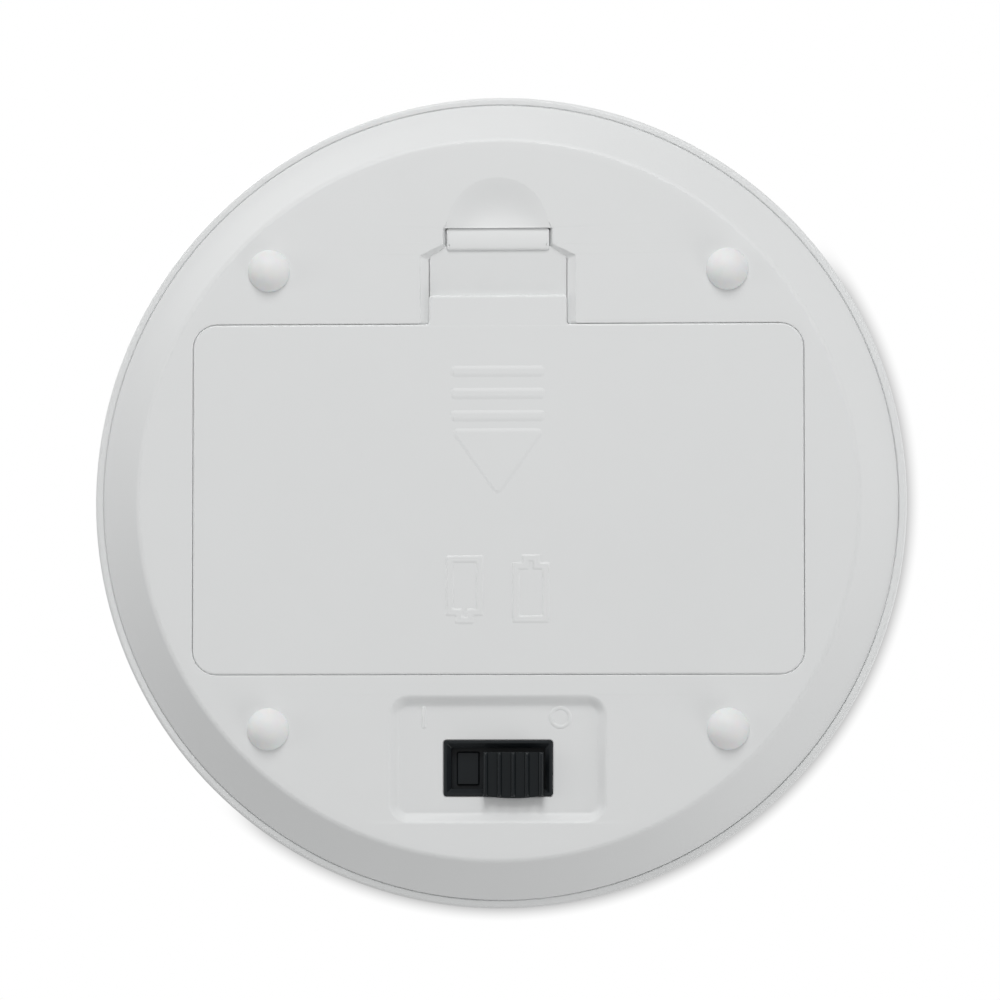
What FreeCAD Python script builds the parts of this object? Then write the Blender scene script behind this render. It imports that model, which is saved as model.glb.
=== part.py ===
import FreeCAD, Part
import math
import os
import re

import Sketcher
from FreeCAD import Placement, Rotation, Vector

# A compact round weighing scale that stands on four small domed feet.
# Frame: millimetres, +Z up, origin on the table under the middle of the disc.
# The display and the latch of the battery cover are at the front, -Y. The slide switch is at the back, +Y.

SIZES = {
    # feet and bottom shell
    "foot_height": 1.6,
    "foot_radius": 2.1,
    "foot_place": 22.9,
    "stem_radius": 1.2,
    "bead_radius": 1.6,
    "bead_height": 0.8,
    "base_radius": 36.35,
    "base_round": 1.0,
    "slope_run": 3.5,
    "slope_rise": 4.0,
    "floor_thick": 1.8,
    "wall_thick": 1.8,
    "tongue_height": 4.4,
    "boss_across": 27.6,
    "boss_along": 21.9,
    "boss_radius": 2.4,
    "pilot_radius": 1.15,
    # battery bay
    "door_length": 61.0,
    "door_width": 35.0,
    "door_thick": 1.5,
    "door_corner": 2.4,
    "door_gap": 0.2,
    "bay_length": 58.4,
    "bay_width": 30.6,
    "bay_wall": 1.4,
    "bay_height": 16.9,
    "roof_thick": 1.6,
    "frame_edge": 1.4,
    "frame_height": 3.3,
    "seat_gap": 0.1,
    # cover latch, seen from below as a tab, a sunk strip and a finger bar
    "tab_half": 6.9,
    "tab_reach": 2.9,
    "strip_sink": 0.5,
    "strip_thick": 0.9,
    "strip_gap": 1.0,
    "bar_half": 5.15,
    "bar_near": 24.9,
    "bar_far": 27.1,
    "bar_sink": 0.15,
    "bar_thick": 1.15,
    "leg_thick": 1.2,
    "hook_rise": 0.9,
    "corner_near": 24.1,
    "corner_far": 25.2,
    "slot_clear": 0.2,
    "slot_draft": 0.8,
    "pocket_depth": 3.5,
    "pocket_wall": 1.2,
    "scoop_radius": 5.05,
    "scoop_depth": 1.1,
    "scoop_reach": 3.3,
    "scoop_ball_depth": 1.9,
    "hinge_tab_place": 16.0,
    "hinge_tab_width": 6.0,
    "hinge_tab_reach": 2.0,
    "hinge_tab_radius": 2.65,
    "hinge_gap": 0.1,
    "hinge_tab_thick": 0.9,
    "mark_height": 0.15,
    # cells and contacts
    "cell_radius": 7.25,
    "cell_place": 7.4,
    "cell_length": 49.5,
    "nub_length": 1.0,
    "nub_radius": 2.7,
    "sleeve_thick": 0.2,
    "plate_thick": 0.3,
    "plate_half": 5.0,
    "plate_low": 5.2,
    "plate_high": 16.0,
    "dimple_height": 1.0,
    "dimple_radius": 1.8,
    "tag_half": 1.2,
    "tag_top": 22.0,
    "spring_wire": 0.35,
    "spring_wide": 3.9,
    "spring_turns": 4.0,
    # switch
    "panel_half": 10.9,
    "panel_near": 19.5,
    "panel_far": 32.3,
    "panel_depth": 0.8,
    "panel_corner": 2.0,
    "panel_cove": 0.6,
    "panel_wall": 1.2,
    "switch_place": 26.8,
    "window_half": 5.4,
    "window_high": 2.75,
    "window_clear": 0.05,
    "rim_proud": 0.1,
    "rim_width": 0.7,
    "well_depth": 1.4,
    "flange_half": 7.0,
    "flange_high": 4.0,
    "flange_thick": 1.2,
    "knob_left": 1.45,
    "knob_right": 4.55,
    "knob_near": 25.2,
    "knob_far": 29.75,
    "knob_bulge": 0.25,
    "knob_thick": 0.75,
    "knob_float": 0.15,
    "ridge_height": 0.4,
    "ridge_width": 0.55,
    "ridge_count": 5.0,
    "stem_left": 1.9,
    "stem_right": 3.9,
    "stem_half": 0.7,
    "switch_travel": 3.25,
    "can_half": 5.3,
    "can_high": 3.3,
    "can_height": 4.6,
    "can_thick": 0.35,
    "insulator_thick": 1.0,
    "pin_pitch": 2.9,
    "pin_half": 0.6,
    "pin_thick": 0.25,
    "pin_rise": 3.0,
    # upper housing
    "housing_radius": 40.75,
    "housing_draft": 0.55,
    "housing_wall": 2.0,
    "housing_top": 26.0,
    "deck_thick": 1.6,
    "lap_clear": 0.07,
    "seam_gap": 0.15,
    "rim_round": 1.2,
    "cell_hole_half": 20.5,
    "cell_hole_high": 6.5,
    # load cell
    "beam_half": 19.0,
    "beam_high": 4.5,
    "beam_thick": 5.0,
    "spacer_low": 1.2,
    "spacer_high": 1.0,
    "spacer_length": 11.0,
    "beam_screw_near": 10.8,
    "beam_screw_far": 15.8,
    "beam_bore": 1.9,
    "beam_bore_place": 3.2,
    "beam_slot": 0.8,
    "screw_radius": 1.5,
    "screw_head": 2.8,
    "screw_head_high": 1.4,
    "screw_clear": 0.08,
    "screw_length": 7.6,
    "coat_half": 5.6,
    "coat_high": 3.4,
    "coat_thick": 0.5,
    # weighing platform
    "carrier_radius": 39.6,
    "carrier_thick": 1.8,
    "carrier_skirt": 0.5,
    "skirt_thick": 1.1,
    "tape_radius": 38.4,
    "tape_thick": 0.3,
    "glass_radius": 39.8,
    "glass_thick": 3.0,
    "glass_bevel": 0.5,
    # display and board
    "display_place": 27.3,
    "view_half": 13.2,
    "view_high": 5.0,
    "window_margin": 0.9,
    "panel_half_x": 15.0,
    "panel_half_y": 6.1,
    "lcd_thick": 2.2,
    "lcd_frame_wall": 1.1,
    "lcd_clear": 0.1,
    "rubber_high": 1.4,
    "rubber_half": 14.0,
    "rubber_wide": 1.6,
    "board_thick": 1.2,
    "board_wing": 21.0,
    "board_half": 16.4,
    "board_back": 18.0,
    "board_wing_front": 30.4,
    "board_front": 34.2,
    "board_screw_x": 18.8,
    "board_screw_y": 25.5,
    "board_boss": 2.2,
    "small_screw": 1.0,
    "small_head": 1.9,
    "small_head_high": 1.0,
    "blob_radius": 3.4,
    "blob_height": 1.3,
    "lead_radius": 0.5,
    "gauge_lead_radius": 0.35,
    "gauge_lead_pitch": 0.85,
}

# Levels and reaches that follow from the sizes above.
FLOOR = "foot_height"
FLOOR_TOP = "foot_height + floor_thick"
SLOPE_TOP = "foot_height + slope_rise"
SHELL_RADIUS = "base_radius + slope_run"
SHELL_TOP = "foot_height + slope_rise + tongue_height"
SEAT = "foot_height + door_thick + seat_gap"
BAY_TOP = "foot_height + bay_height"
ROOF_TOP = "foot_height + bay_height + roof_thick"
CELL_AXIS = "foot_height + door_thick + 0.3 + cell_radius"
BAY_END = "bay_length / 2"
PANEL_FLOOR = "foot_height + panel_depth"
RIM = "foot_height + panel_depth - rim_proud"
WELL = "foot_height + panel_depth - rim_proud + well_depth"
FLANGE = "foot_height + panel_depth + panel_wall"
FLANGE_TOP = "foot_height + panel_depth + panel_wall + flange_thick"
CAN_TOP = "foot_height + panel_depth + panel_wall + flange_thick + can_height"
PIN_TOP = "foot_height + panel_depth + panel_wall + flange_thick + can_height + insulator_thick + pin_rise"
DECK = "housing_top - deck_thick"
BEAM = "foot_height + bay_height + roof_thick + spacer_low"
BEAM_TOP = "foot_height + bay_height + roof_thick + spacer_low + beam_thick"
CARRIER = "foot_height + bay_height + roof_thick + spacer_low + beam_thick + spacer_high"
CARRIER_TOP = CARRIER + " + carrier_thick"
GLASS = CARRIER + " + carrier_thick + tape_thick"
BOARD_TOP = "housing_top - deck_thick - lcd_thick - rubber_high"
BOARD = "housing_top - deck_thick - lcd_thick - rubber_high - board_thick"

doc = FreeCAD.newDocument("round_scale")
sheet = doc.addObject("Spreadsheet::Sheet", "sizes")
for row, (alias, number) in enumerate(SIZES.items(), start=1):
    sheet.set(f"A{row}", str(number))
    sheet.setAlias(f"A{row}", alias)
doc.recompute()

WORD = re.compile(r"\b([a-z]\w*)\b")
X_TURN = Rotation(Vector(0, 1, 0), 90)
Y_TURN = Rotation(Vector(1, 0, 0), -90)
NODES = []


def cells(text):
    """An expression on the sheet's cells, from one that names only their aliases."""
    return WORD.sub(r"sizes.\1", str(text))


def number(text):
    """The present value of an expression, in millimetres."""
    return float(sheet.evalExpression(WORD.sub(r"\1", str(text))))


def bind(item, **places):
    """Binds properties of an object to expressions; x, y and z are its place."""
    for name, text in places.items():
        path = f".Placement.Base.{name}" if name in "xyz" else name
        item.setExpression(path, cells(text))


def add(kind, name):
    return doc.addObject(kind, name)


def node(item, label):
    """Names a finished sub-part and lists it for export."""
    item.Label = label
    NODES.append(item)
    return item


def box(name, x, y, z):
    """A block from three (low, high) pairs."""
    item = add("Part::Box", name)
    bind(item, x=x[0], y=y[0], z=z[0])
    bind(item, Length=f"({x[1]}) - ({x[0]})", Width=f"({y[1]}) - ({y[0]})", Height=f"({z[1]}) - ({z[0]})")
    return item


def centred(name, half_x, half_y, z, y="0"):
    """A block that is symmetrical about X = 0 and about Y = y."""
    return box(name, (f"-({half_x})", half_x), (f"({y}) - ({half_y})", f"({y}) + ({half_y})"), z)


def post(name, radius, z, x="0", y="0"):
    """An upright cylinder."""
    item = add("Part::Cylinder", name)
    bind(item, x=x, y=y, z=z[0], Radius=radius, Height=f"({z[1]}) - ({z[0]})")
    return item


def cone(name, low, high, z, x="0", y="0"):
    """An upright cone frustum."""
    item = add("Part::Cone", name)
    bind(item, x=x, y=y, z=z[0], Radius1=low, Radius2=high, Height=f"({z[1]}) - ({z[0]})")
    return item


def rod(name, radius, start, length, turn):
    """A lying cylinder along X or Y."""
    item = add("Part::Cylinder", name)
    item.Placement = Placement(Vector(), turn)
    bind(item, x=start[0], y=start[1], z=start[2], Radius=radius, Height=length)
    return item


def fuse(name, *items):
    item = add("Part::MultiFuse", name)
    item.Shapes = list(items)
    item.Refine = True
    return item


def common(name, *items):
    item = add("Part::MultiCommon", name)
    item.Shapes = list(items)
    return item


def cut(name, base, *tools):
    item = add("Part::Cut", name)
    item.Base = base
    item.Tool = tools[0] if len(tools) == 1 else fuse(f"{name}_tools", *tools)
    item.Refine = True
    return item


def group(name, *items):
    item = add("Part::Compound", name)
    item.Links = list(items)
    return item


def edges_of(item, wanted):
    """Numbers of the edges that a test picks, from an object that is up to date."""
    doc.recompute()
    return [i for i, edge in enumerate(item.Shape.Edges, start=1) if wanted(edge)]


def rounded(name, base, radius, wanted):
    """A Part fillet on the edges that a test picks."""
    picked = edges_of(base, wanted)
    item = add("Part::Fillet", name)
    item.Base = base
    item.Edges = [(i, number(radius), number(radius)) for i in picked]
    return item


def bevelled(name, base, size, wanted):
    """A Part chamfer on the edges that a test picks."""
    picked = edges_of(base, wanted)
    item = add("Part::Chamfer", name)
    item.Base = base
    item.Edges = [(i, number(size), number(size)) for i in picked]
    return item


def upright(edge):
    """True for a straight edge along Z."""
    return len(edge.Vertexes) == 2 and abs(edge.BoundBox.XLength) < 1e-6 and abs(edge.BoundBox.YLength) < 1e-6


def at_level(level):
    """A test for edges that lie in one horizontal plane."""
    def test(edge):
        place = edge.BoundBox
        return abs(place.ZMin - number(level)) < 1e-4 and abs(place.ZMax - number(level)) < 1e-4
    return test


def ring_at(level, radius):
    """A test for a full circle about the middle, of one level and radius."""
    flat = at_level(level)
    def test(edge):
        return flat(edge) and abs(edge.BoundBox.XMax - number(radius)) < 1e-3
    return test


def plane(body, role):
    return next(item for item in body.Origin.OriginFeatures if item.Role == role)


def outline(body, name, role, corners, lift=None):
    """A closed sketch of straight lines whose corners are bound to the sheet."""
    sketch = body.newObject("Sketcher::SketchObject", name)
    sketch.AttachmentSupport = [(plane(body, role), "")]
    sketch.MapMode = "FlatFace"
    if lift is not None:
        sketch.setExpression(".AttachmentOffset.Base.z", cells(lift))
    points = [Vector(number(x), number(y), 0) for x, y in corners]
    count = len(points)
    for i in range(count):
        sketch.addGeometry(Part.LineSegment(points[i], points[(i + 1) % count]))
    for i in range(count):
        sketch.addConstraint(Sketcher.Constraint("Coincident", i, 2, (i + 1) % count, 1))
    for i, (x, y) in enumerate(corners):
        across = sketch.addConstraint(Sketcher.Constraint("DistanceX", -1, 1, i, 1, points[i].x))
        up = sketch.addConstraint(Sketcher.Constraint("DistanceY", -1, 1, i, 1, points[i].y))
        sketch.setExpression(f"Constraints[{across}]", cells(x))
        sketch.setExpression(f"Constraints[{up}]", cells(y))
    return sketch


def pad(body, name, sketch, length, both_ways=False, back=False):
    item = body.newObject("PartDesign::Pad", name)
    item.Profile = sketch
    item.setExpression("Length", cells(length))
    item.Midplane = both_ways
    item.Reversed = back
    return item


def turned(body, name, sketch):
    """A full revolution about the upright axis of the sketch."""
    item = body.newObject("PartDesign::Revolution", name)
    item.Profile = sketch
    item.ReferenceAxis = (sketch, ["V_Axis"])
    item.Angle = 360
    return item


def lathe(name, corners):
    """A body turned about Z, from (radius, height) corners."""
    body = add("PartDesign::Body", name)
    turned(body, f"{name}_turn", outline(body, f"{name}_profile", "XZ_Plane", corners))
    return body


def placed(body, x="0", y="0", z="0", turn=None):
    if turn is not None:
        body.Placement = Placement(Vector(), turn)
    bind(body, x=x, y=y, z=z)
    return body


def rounded_block(name, half_x, half_y, z, corner, y="0"):
    """A block with rounded upright edges."""
    return rounded(name, centred(f"{name}_block", half_x, half_y, z, y), corner, upright)


def smooth_path(points):
    """Straight runs joined by tangent arcs, each as large as its two runs allow."""
    stops = [Vector(*point) for point in points]
    edges, start = [], stops[0]
    for before, here, after in zip(stops, stops[1:], stops[2:]):
        inward = (here - before).normalize()
        onward = (after - here).normalize()
        turn = inward.getAngle(onward)
        back = 0.45 * min((here - before).Length, (after - here).Length)
        radius = back / math.tan(turn / 2)
        first, last = here - inward * back, here + onward * back
        heart = here + (onward - inward).normalize() * (radius / math.cos(turn / 2))
        middle = heart + (here - heart).normalize() * radius
        edges.append(Part.LineSegment(start, first).toShape())
        edges.append(Part.Arc(first, middle, last).toShape())
        start = last
    edges.append(Part.LineSegment(start, stops[-1]).toShape())
    return Part.Wire(edges)


def lead(name, points, radius):
    """A round insulated wire swept along a hand-chosen route."""
    path = add("Part::Feature", f"{name}_path")
    path.Shape = smooth_path(points)
    circle = add("Part::Circle", f"{name}_section")
    heading = Vector(*points[1]) - Vector(*points[0])
    circle.Placement = Placement(Vector(*points[0]), Rotation(Vector(0, 0, 1), heading))
    bind(circle, Radius=radius)
    item = add("Part::Sweep", name)
    item.Sections = [circle]
    item.Spine = (path, [f"Edge{i + 1}" for i in range(len(path.Shape.Edges))])
    item.Solid = True
    item.Frenet = False
    return item


CORNERS = [(sx, sy) for sx in ("-", "") for sy in ("-", "")]
SIDES = ("-", "")


def feet():
    """Four silicone domes, each with a stem and a bead that pulls through the floor."""
    made = []
    ball = "(foot_radius * foot_radius + foot_height * foot_height) / (2 * foot_height)"
    for i, (sx, sy) in enumerate(CORNERS):
        x, y = f"{sx}foot_place", f"{sy}foot_place"
        sphere = add("Part::Sphere", f"foot_ball_{i}")
        bind(sphere, Radius=ball, x=x, y=y, z=ball)
        trim = post(f"foot_trim_{i}", "foot_radius", ("0", FLOOR), x, y)
        dome = common(f"foot_dome_{i}", sphere, trim)
        stem = post(f"foot_stem_{i}", "stem_radius", (FLOOR, FLOOR_TOP), x, y)
        bead = cone(
            f"foot_bead_{i}",
            "bead_radius",
            "stem_radius",
            (FLOOR_TOP, f"{FLOOR_TOP} + bead_height"),
            x,
            y,
        )
        made.append(fuse(f"foot_{i}", dome, stem, bead))
    return node(group("feet_group", *made), "feet")


def cover_opening():
    """The seat of the battery cover, with its slot, latch pocket and hinge notches."""
    seat = rounded_block(
        "seat",
        "door_length / 2 + door_gap",
        "door_width / 2 + door_gap",
        ("0", SEAT),
        "door_corner + door_gap",
    )
    bay = rounded_block("bay", BAY_END, "bay_width / 2", ("0", BAY_TOP), "1.0")
    wide = "tab_half + slot_clear"
    slim = "bar_half + slot_clear"
    far = "bar_far + 0.25"
    slot = add("PartDesign::Body", "slot")
    corners = [
        (f"-({wide})", "-(door_width / 2 - 1)"),
        (f"-({wide})", "-corner_near"),
        (f"-({slim})", "-corner_far"),
        (f"-({slim})", f"-({far})"),
        (slim, f"-({far})"),
        (slim, "-corner_far"),
        (wide, "-corner_near"),
        (wide, "-(door_width / 2 - 1)"),
    ]
    pad(slot, "slot_pad", outline(slot, "slot_outline", "XY_Plane", corners), f"{FLOOR} + pocket_depth")
    # The side walls of the slot lean outwards at the surface.
    flare = add("PartDesign::Body", "flare")
    corners = [
        (f"-({wide} + slot_draft)", FLOOR),
        (f"-({wide})", f"{FLOOR} + strip_sink"),
        (wide, f"{FLOOR} + strip_sink"),
        (f"{wide} + slot_draft", FLOOR),
    ]
    profile = outline(flare, "flare_profile", "XZ_Plane", corners, lift="door_width / 2 - 1")
    pad(flare, "flare_pad", profile, "corner_near - door_width / 2 + 1")
    # A shallow undercut behind the finger bar, where the hook of the latch catches.
    undercut = box(
        "undercut",
        (f"-({slim})", slim),
        (f"-({far} + 0.8)", f"-({far} - 0.5)"),
        (FLOOR_TOP, f"{FLOOR} + pocket_depth"),
    )
    notches = [
        box(
            f"hinge_notch_{i}",
            (
                f"{side}hinge_tab_place - hinge_tab_width / 2 - 0.3",
                f"{side}hinge_tab_place + hinge_tab_width / 2 + 0.3",
            ),
            ("bay_width / 2 - 0.5", "door_width / 2 + hinge_tab_reach + 0.5"),
            (SEAT, f"{SEAT} + 2.2"),
        )
        for i, side in enumerate(SIDES)
    ]
    return [seat, bay, slot, flare, undercut, *notches]


def finger_scoop():
    """A soft half-round dish in front of the finger bar."""
    edge = "bar_far + 0.25"
    ball_radius = (
        "(scoop_radius * scoop_radius + scoop_ball_depth * scoop_ball_depth)"
        " / (2 * scoop_ball_depth)"
    )
    ball = add("Part::Sphere", "scoop_ball")
    bind(ball, Radius=ball_radius, y=f"-({edge})", z=f"{FLOOR} + scoop_ball_depth - {ball_radius}")
    roll_radius = "(scoop_reach * scoop_reach + scoop_depth * scoop_depth) / (2 * scoop_depth)"
    low = f"-({edge} + scoop_radius - scoop_reach)"
    height = f"{FLOOR} + scoop_depth - {roll_radius}"
    roll = rod("scoop_roll", roll_radius, ("-scoop_radius", low, height), "2 * scoop_radius", X_TURN)
    half = box(
        "scoop_half",
        ("-scoop_radius", "scoop_radius"),
        ("-base_radius", f"-({edge} - 0.3)"),
        ("0", SLOPE_TOP),
    )
    return common("scoop", ball, roll, half)


def switch_recess():
    """The sunk panel round the slide switch, with coved edges, and the switch's window."""
    middle = "(panel_near + panel_far) / 2"
    block = rounded_block(
        "panel", "panel_half", "(panel_far - panel_near) / 2", ("0", PANEL_FLOOR), "panel_corner", middle
    )
    coved = rounded("panel_coved", block, "panel_cove", at_level(PANEL_FLOOR))
    window = centred(
        "window",
        "window_half + window_clear",
        "window_high + window_clear",
        ("0", f"{FLANGE} + 1"),
        "switch_place",
    )
    return [coved, window]


def bottom_shell():
    """Floor, sloping rim, tongue, battery bay, latch pocket, switch panel and four screw bosses."""
    slope = cone("slope", "base_radius", SHELL_RADIUS, (FLOOR, SLOPE_TOP))
    drum = post("drum", SHELL_RADIUS, (SLOPE_TOP, SHELL_TOP))
    whole = fuse("shell_whole", slope, drum)
    edge = rounded("shell_edge", whole, "base_round", ring_at(FLOOR, "base_radius"))
    skin = rounded("shell_skin", edge, "0.5", ring_at(SLOPE_TOP, SHELL_RADIUS))
    inner = f"{SHELL_RADIUS} - wall_thick"
    hollow_slope = cone("hollow_slope", "base_radius - 1.1", inner, (FLOOR_TOP, f"{SLOPE_TOP} + 0.4"))
    hollow_drum = post("hollow_drum", inner, (f"{SLOPE_TOP} + 0.4", f"{SHELL_TOP} + 1"))
    hollow = cut("shell_hollow", skin, hollow_slope, hollow_drum)

    frame_half = "door_length / 2 + door_gap + frame_edge"
    frame_high = "door_width / 2 + door_gap + frame_edge"
    frame = rounded_block("frame", frame_half, frame_high, (FLOOR, f"{FLOOR} + frame_height"), "4.0")
    bay_box = centred("bay_box", f"{BAY_END} + bay_wall", "bay_width / 2 + bay_wall", (FLOOR, ROOF_TOP))
    pocket = box(
        "pocket",
        ("-(tab_half + slot_draft + pocket_wall)", "tab_half + slot_draft + pocket_wall"),
        ("-(bar_far + scoop_radius - 1)", "-(bay_width / 2)"),
        (FLOOR, f"{FLOOR} + pocket_depth + pocket_wall"),
    )
    panel_back = centred(
        "panel_back",
        "panel_half + panel_wall",
        "(panel_far - panel_near) / 2 + panel_wall",
        (FLOOR, FLANGE),
        "(panel_near + panel_far) / 2",
    )
    dish_back = post("dish_back", "scoop_radius + pocket_wall", (FLOOR, f"{FLOOR_TOP} + 0.6"), y="-(bar_far)")
    bosses = [
        post(f"boss_{i}", "boss_radius", (f"{FLOOR_TOP} + 1", DECK), f"{sx}boss_across", f"{sy}boss_along")
        for i, (sx, sy) in enumerate(CORNERS)
    ]
    within = post("within", f"{SHELL_RADIUS} - 0.9", (FLOOR, DECK))
    low_within = common("blocks_low", skin, fuse("low_blocks", frame, pocket, panel_back, dish_back))
    tall = common("blocks_tall", within, fuse("tall_blocks", bay_box, *bosses))
    solid = fuse("shell_solid", hollow, low_within, tall)

    pilots = [
        post(
            f"pilot_{i}",
            "pilot_radius",
            (f"{DECK} - 10", f"{DECK} + 1"),
            f"{sx}boss_across",
            f"{sy}boss_along",
        )
        for i, (sx, sy) in enumerate(CORNERS)
    ]
    foot_holes = [
        post(
            f"foot_hole_{i}",
            "stem_radius",
            ("0", f"{FLOOR_TOP} + 0.5"),
            f"{sx}foot_place",
            f"{sy}foot_place",
        )
        for i, (sx, sy) in enumerate(CORNERS)
    ]
    beam_holes = []
    for i, place in enumerate(("beam_screw_near", "beam_screw_far")):
        beam_holes.append(
            post(f"beam_hole_{i}", "screw_radius + screw_clear", (BAY_TOP, f"{ROOF_TOP} + 1"), f"-{place}")
        )
        sink = cone(
            f"beam_sink_{i}", "screw_head + screw_clear", "screw_radius + screw_clear",
            (BAY_TOP, f"{BAY_TOP} + screw_head_high"), f"-{place}"
        )
        beam_holes.append(sink)
    tag_slots = [
        box(
            f"tag_slot_{i}",
            (f"{BAY_END} - plate_thick - 0.2", f"{BAY_END} + 0.1"),
            (f"{side}cell_place - tag_half - 0.2", f"{side}cell_place + tag_half + 0.2"),
            (f"{BAY_TOP} - 0.5", f"{ROOF_TOP} + 1"),
        )
        for i, side in enumerate(SIDES)
    ]
    tools = [
        *cover_opening(),
        finger_scoop(),
        *switch_recess(),
        *pilots,
        *foot_holes,
        *beam_holes,
        *tag_slots,
    ]
    return node(cut("shell", solid, *tools), "bottom_shell")


def arrow_marks(body):
    """Three bars and a triangle that say which way the latch is pulled, and two small cell pictures."""
    marks = []
    for i, (near, far) in enumerate((("-13.3", "-12.4"), ("-11.1", "-10.1"), ("-8.9", "-7.9"))):
        corners = [("-4.6", near), ("4.6", near), ("4.6", far), ("-4.6", far)]
        marks.append(outline(body, f"arrow_bar_{i}", "XY_Plane", corners, lift=FLOOR))
    triangle = [("-4.4", "-6.9"), ("4.4", "-6.9"), ("0", "-0.6")]
    marks.append(outline(body, "arrow_head", "XY_Plane", triangle, lift=FLOOR))
    for i, (middle, flip) in enumerate((("-3.3", "1"), ("3.3", "-1"))):
        centre = "9"
        steps = [("1.6", "-3"), ("1.6", "2.4"), ("0.7", "2.4"), ("0.7", "3.2"), (
            "-0.7",
            "3.2",
        ), ("-0.7", "2.4"),
                 ("-1.6", "2.4"), ("-1.6", "-3")]
        corners = [(f"{middle} + {x}", f"{centre} + ({y}) * ({flip})") for x, y in steps]
        marks.append(outline(body, f"cell_picture_{i}", "XY_Plane", corners, lift=FLOOR))
    for i, sketch in enumerate(marks):
        pad(body, f"mark_pad_{i}", sketch, "mark_height", back=True)


def battery_cover():
    """A flush plate with a tab in front, two hinge tabs behind and the pull arrow."""
    body = add("PartDesign::Body", "cover_body")
    half, deep = "door_length / 2", "door_width / 2"
    reach = f"{deep} + tab_reach"
    corners = [
        (f"-({half})", f"-({deep})"),
        ("-tab_half", f"-({deep})"),
        ("-tab_half", f"-({reach})"),
        ("tab_half", f"-({reach})"),
        ("tab_half", f"-({deep})"),
        (half, f"-({deep})"),
        (half, deep),
        (f"-({half})", deep),
    ]
    pad(body, "cover_pad", outline(body, "cover_outline", "XY_Plane", corners, lift=FLOOR), "door_thick")
    arrow_marks(body)
    doc.recompute()
    far_corner = number(half) - 0.01
    plate = rounded(
        "cover_plate",
        body,
        "door_corner",
        lambda e: upright(e) and abs(e.BoundBox.XMax) > far_corner,
    )
    tabs = []
    for i, side in enumerate(SIDES):
        x = (f"{side}hinge_tab_place - hinge_tab_width / 2", f"{side}hinge_tab_place + hinge_tab_width / 2")
        hook = (f"{SEAT} + seat_gap", f"{SEAT} + seat_gap + hinge_tab_thick")
        # The hook ends in an arc about the hinge's axis, so that it clears its notch as the cover swings.
        axis_y = f"{deep} + hinge_gap"
        arc = rod(f"hinge_arc_{i}", "hinge_tab_radius", (x[0], axis_y, FLOOR), "hinge_tab_width", X_TURN)
        tip = box(f"hinge_tip_{i}", x, (axis_y, f"{deep} + hinge_tab_reach"), hook)
        tabs.append(box(f"hinge_tab_{i}", x, (f"{deep} - 2", axis_y), hook))
        tabs.append(common(f"hinge_tip_cut_{i}", tip, arc))
        tabs.append(
            box(f"hinge_root_{i}", x, (f"{deep} - 2", f"{deep} - 0.1"), (f"{FLOOR} + door_thick", hook[0]))
        )
    ribs = [
        box(
            f"cover_rib_{i}",
            (f"{side}24 - 0.5", f"{side}24 + 0.5"),
            ("-14.5", "14.5"),
            (f"{FLOOR} + door_thick", f"{FLOOR} + door_thick + 0.2"),
        )
        for i, side in enumerate(SIDES)
    ]
    return node(fuse("cover", plate, *tabs, *ribs), "battery_cover")


def cover_latch():
    """The free end of the cover's spring: a sunk strip, the finger bar and the hook behind it."""
    near = "door_width / 2 + tab_reach + strip_gap"
    low, high = f"{FLOOR} + strip_sink", f"{FLOOR} + strip_sink + strip_thick"
    hook = f"{FLOOR_TOP} + hook_rise"
    strip = add("PartDesign::Body", "strip")
    corners = [
        ("-(tab_half - 0.1)", f"-({near})"),
        ("-(tab_half - 0.1)", "-(corner_near - 0.2)"),
        ("-bar_half", "-(corner_far - 0.2)"),
        ("-bar_half", "-bar_far"),
        ("bar_half", "-bar_far"),
        ("bar_half", "-(corner_far - 0.2)"),
        ("tab_half - 0.1", "-(corner_near - 0.2)"),
        ("tab_half - 0.1", f"-({near})"),
    ]
    pad(strip, "strip_pad", outline(strip, "strip_outline", "XY_Plane", corners, lift=low), "strip_thick")
    bar_low = f"{FLOOR} + bar_sink"
    bar_high = f"{FLOOR} + bar_sink + bar_thick"
    bar = box("bar_block", ("-bar_half", "bar_half"), ("-bar_far", "-bar_near"), (bar_low, bar_high))
    soft = rounded("bar_soft", bar, "0.3", at_level(bar_low))
    leg = box("bar_leg", ("-bar_half", "bar_half"), ("-bar_far", "-(bar_far - leg_thick)"), (bar_high, hook))
    return node(fuse("latch", strip, soft, leg), "cover_latch")


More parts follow.
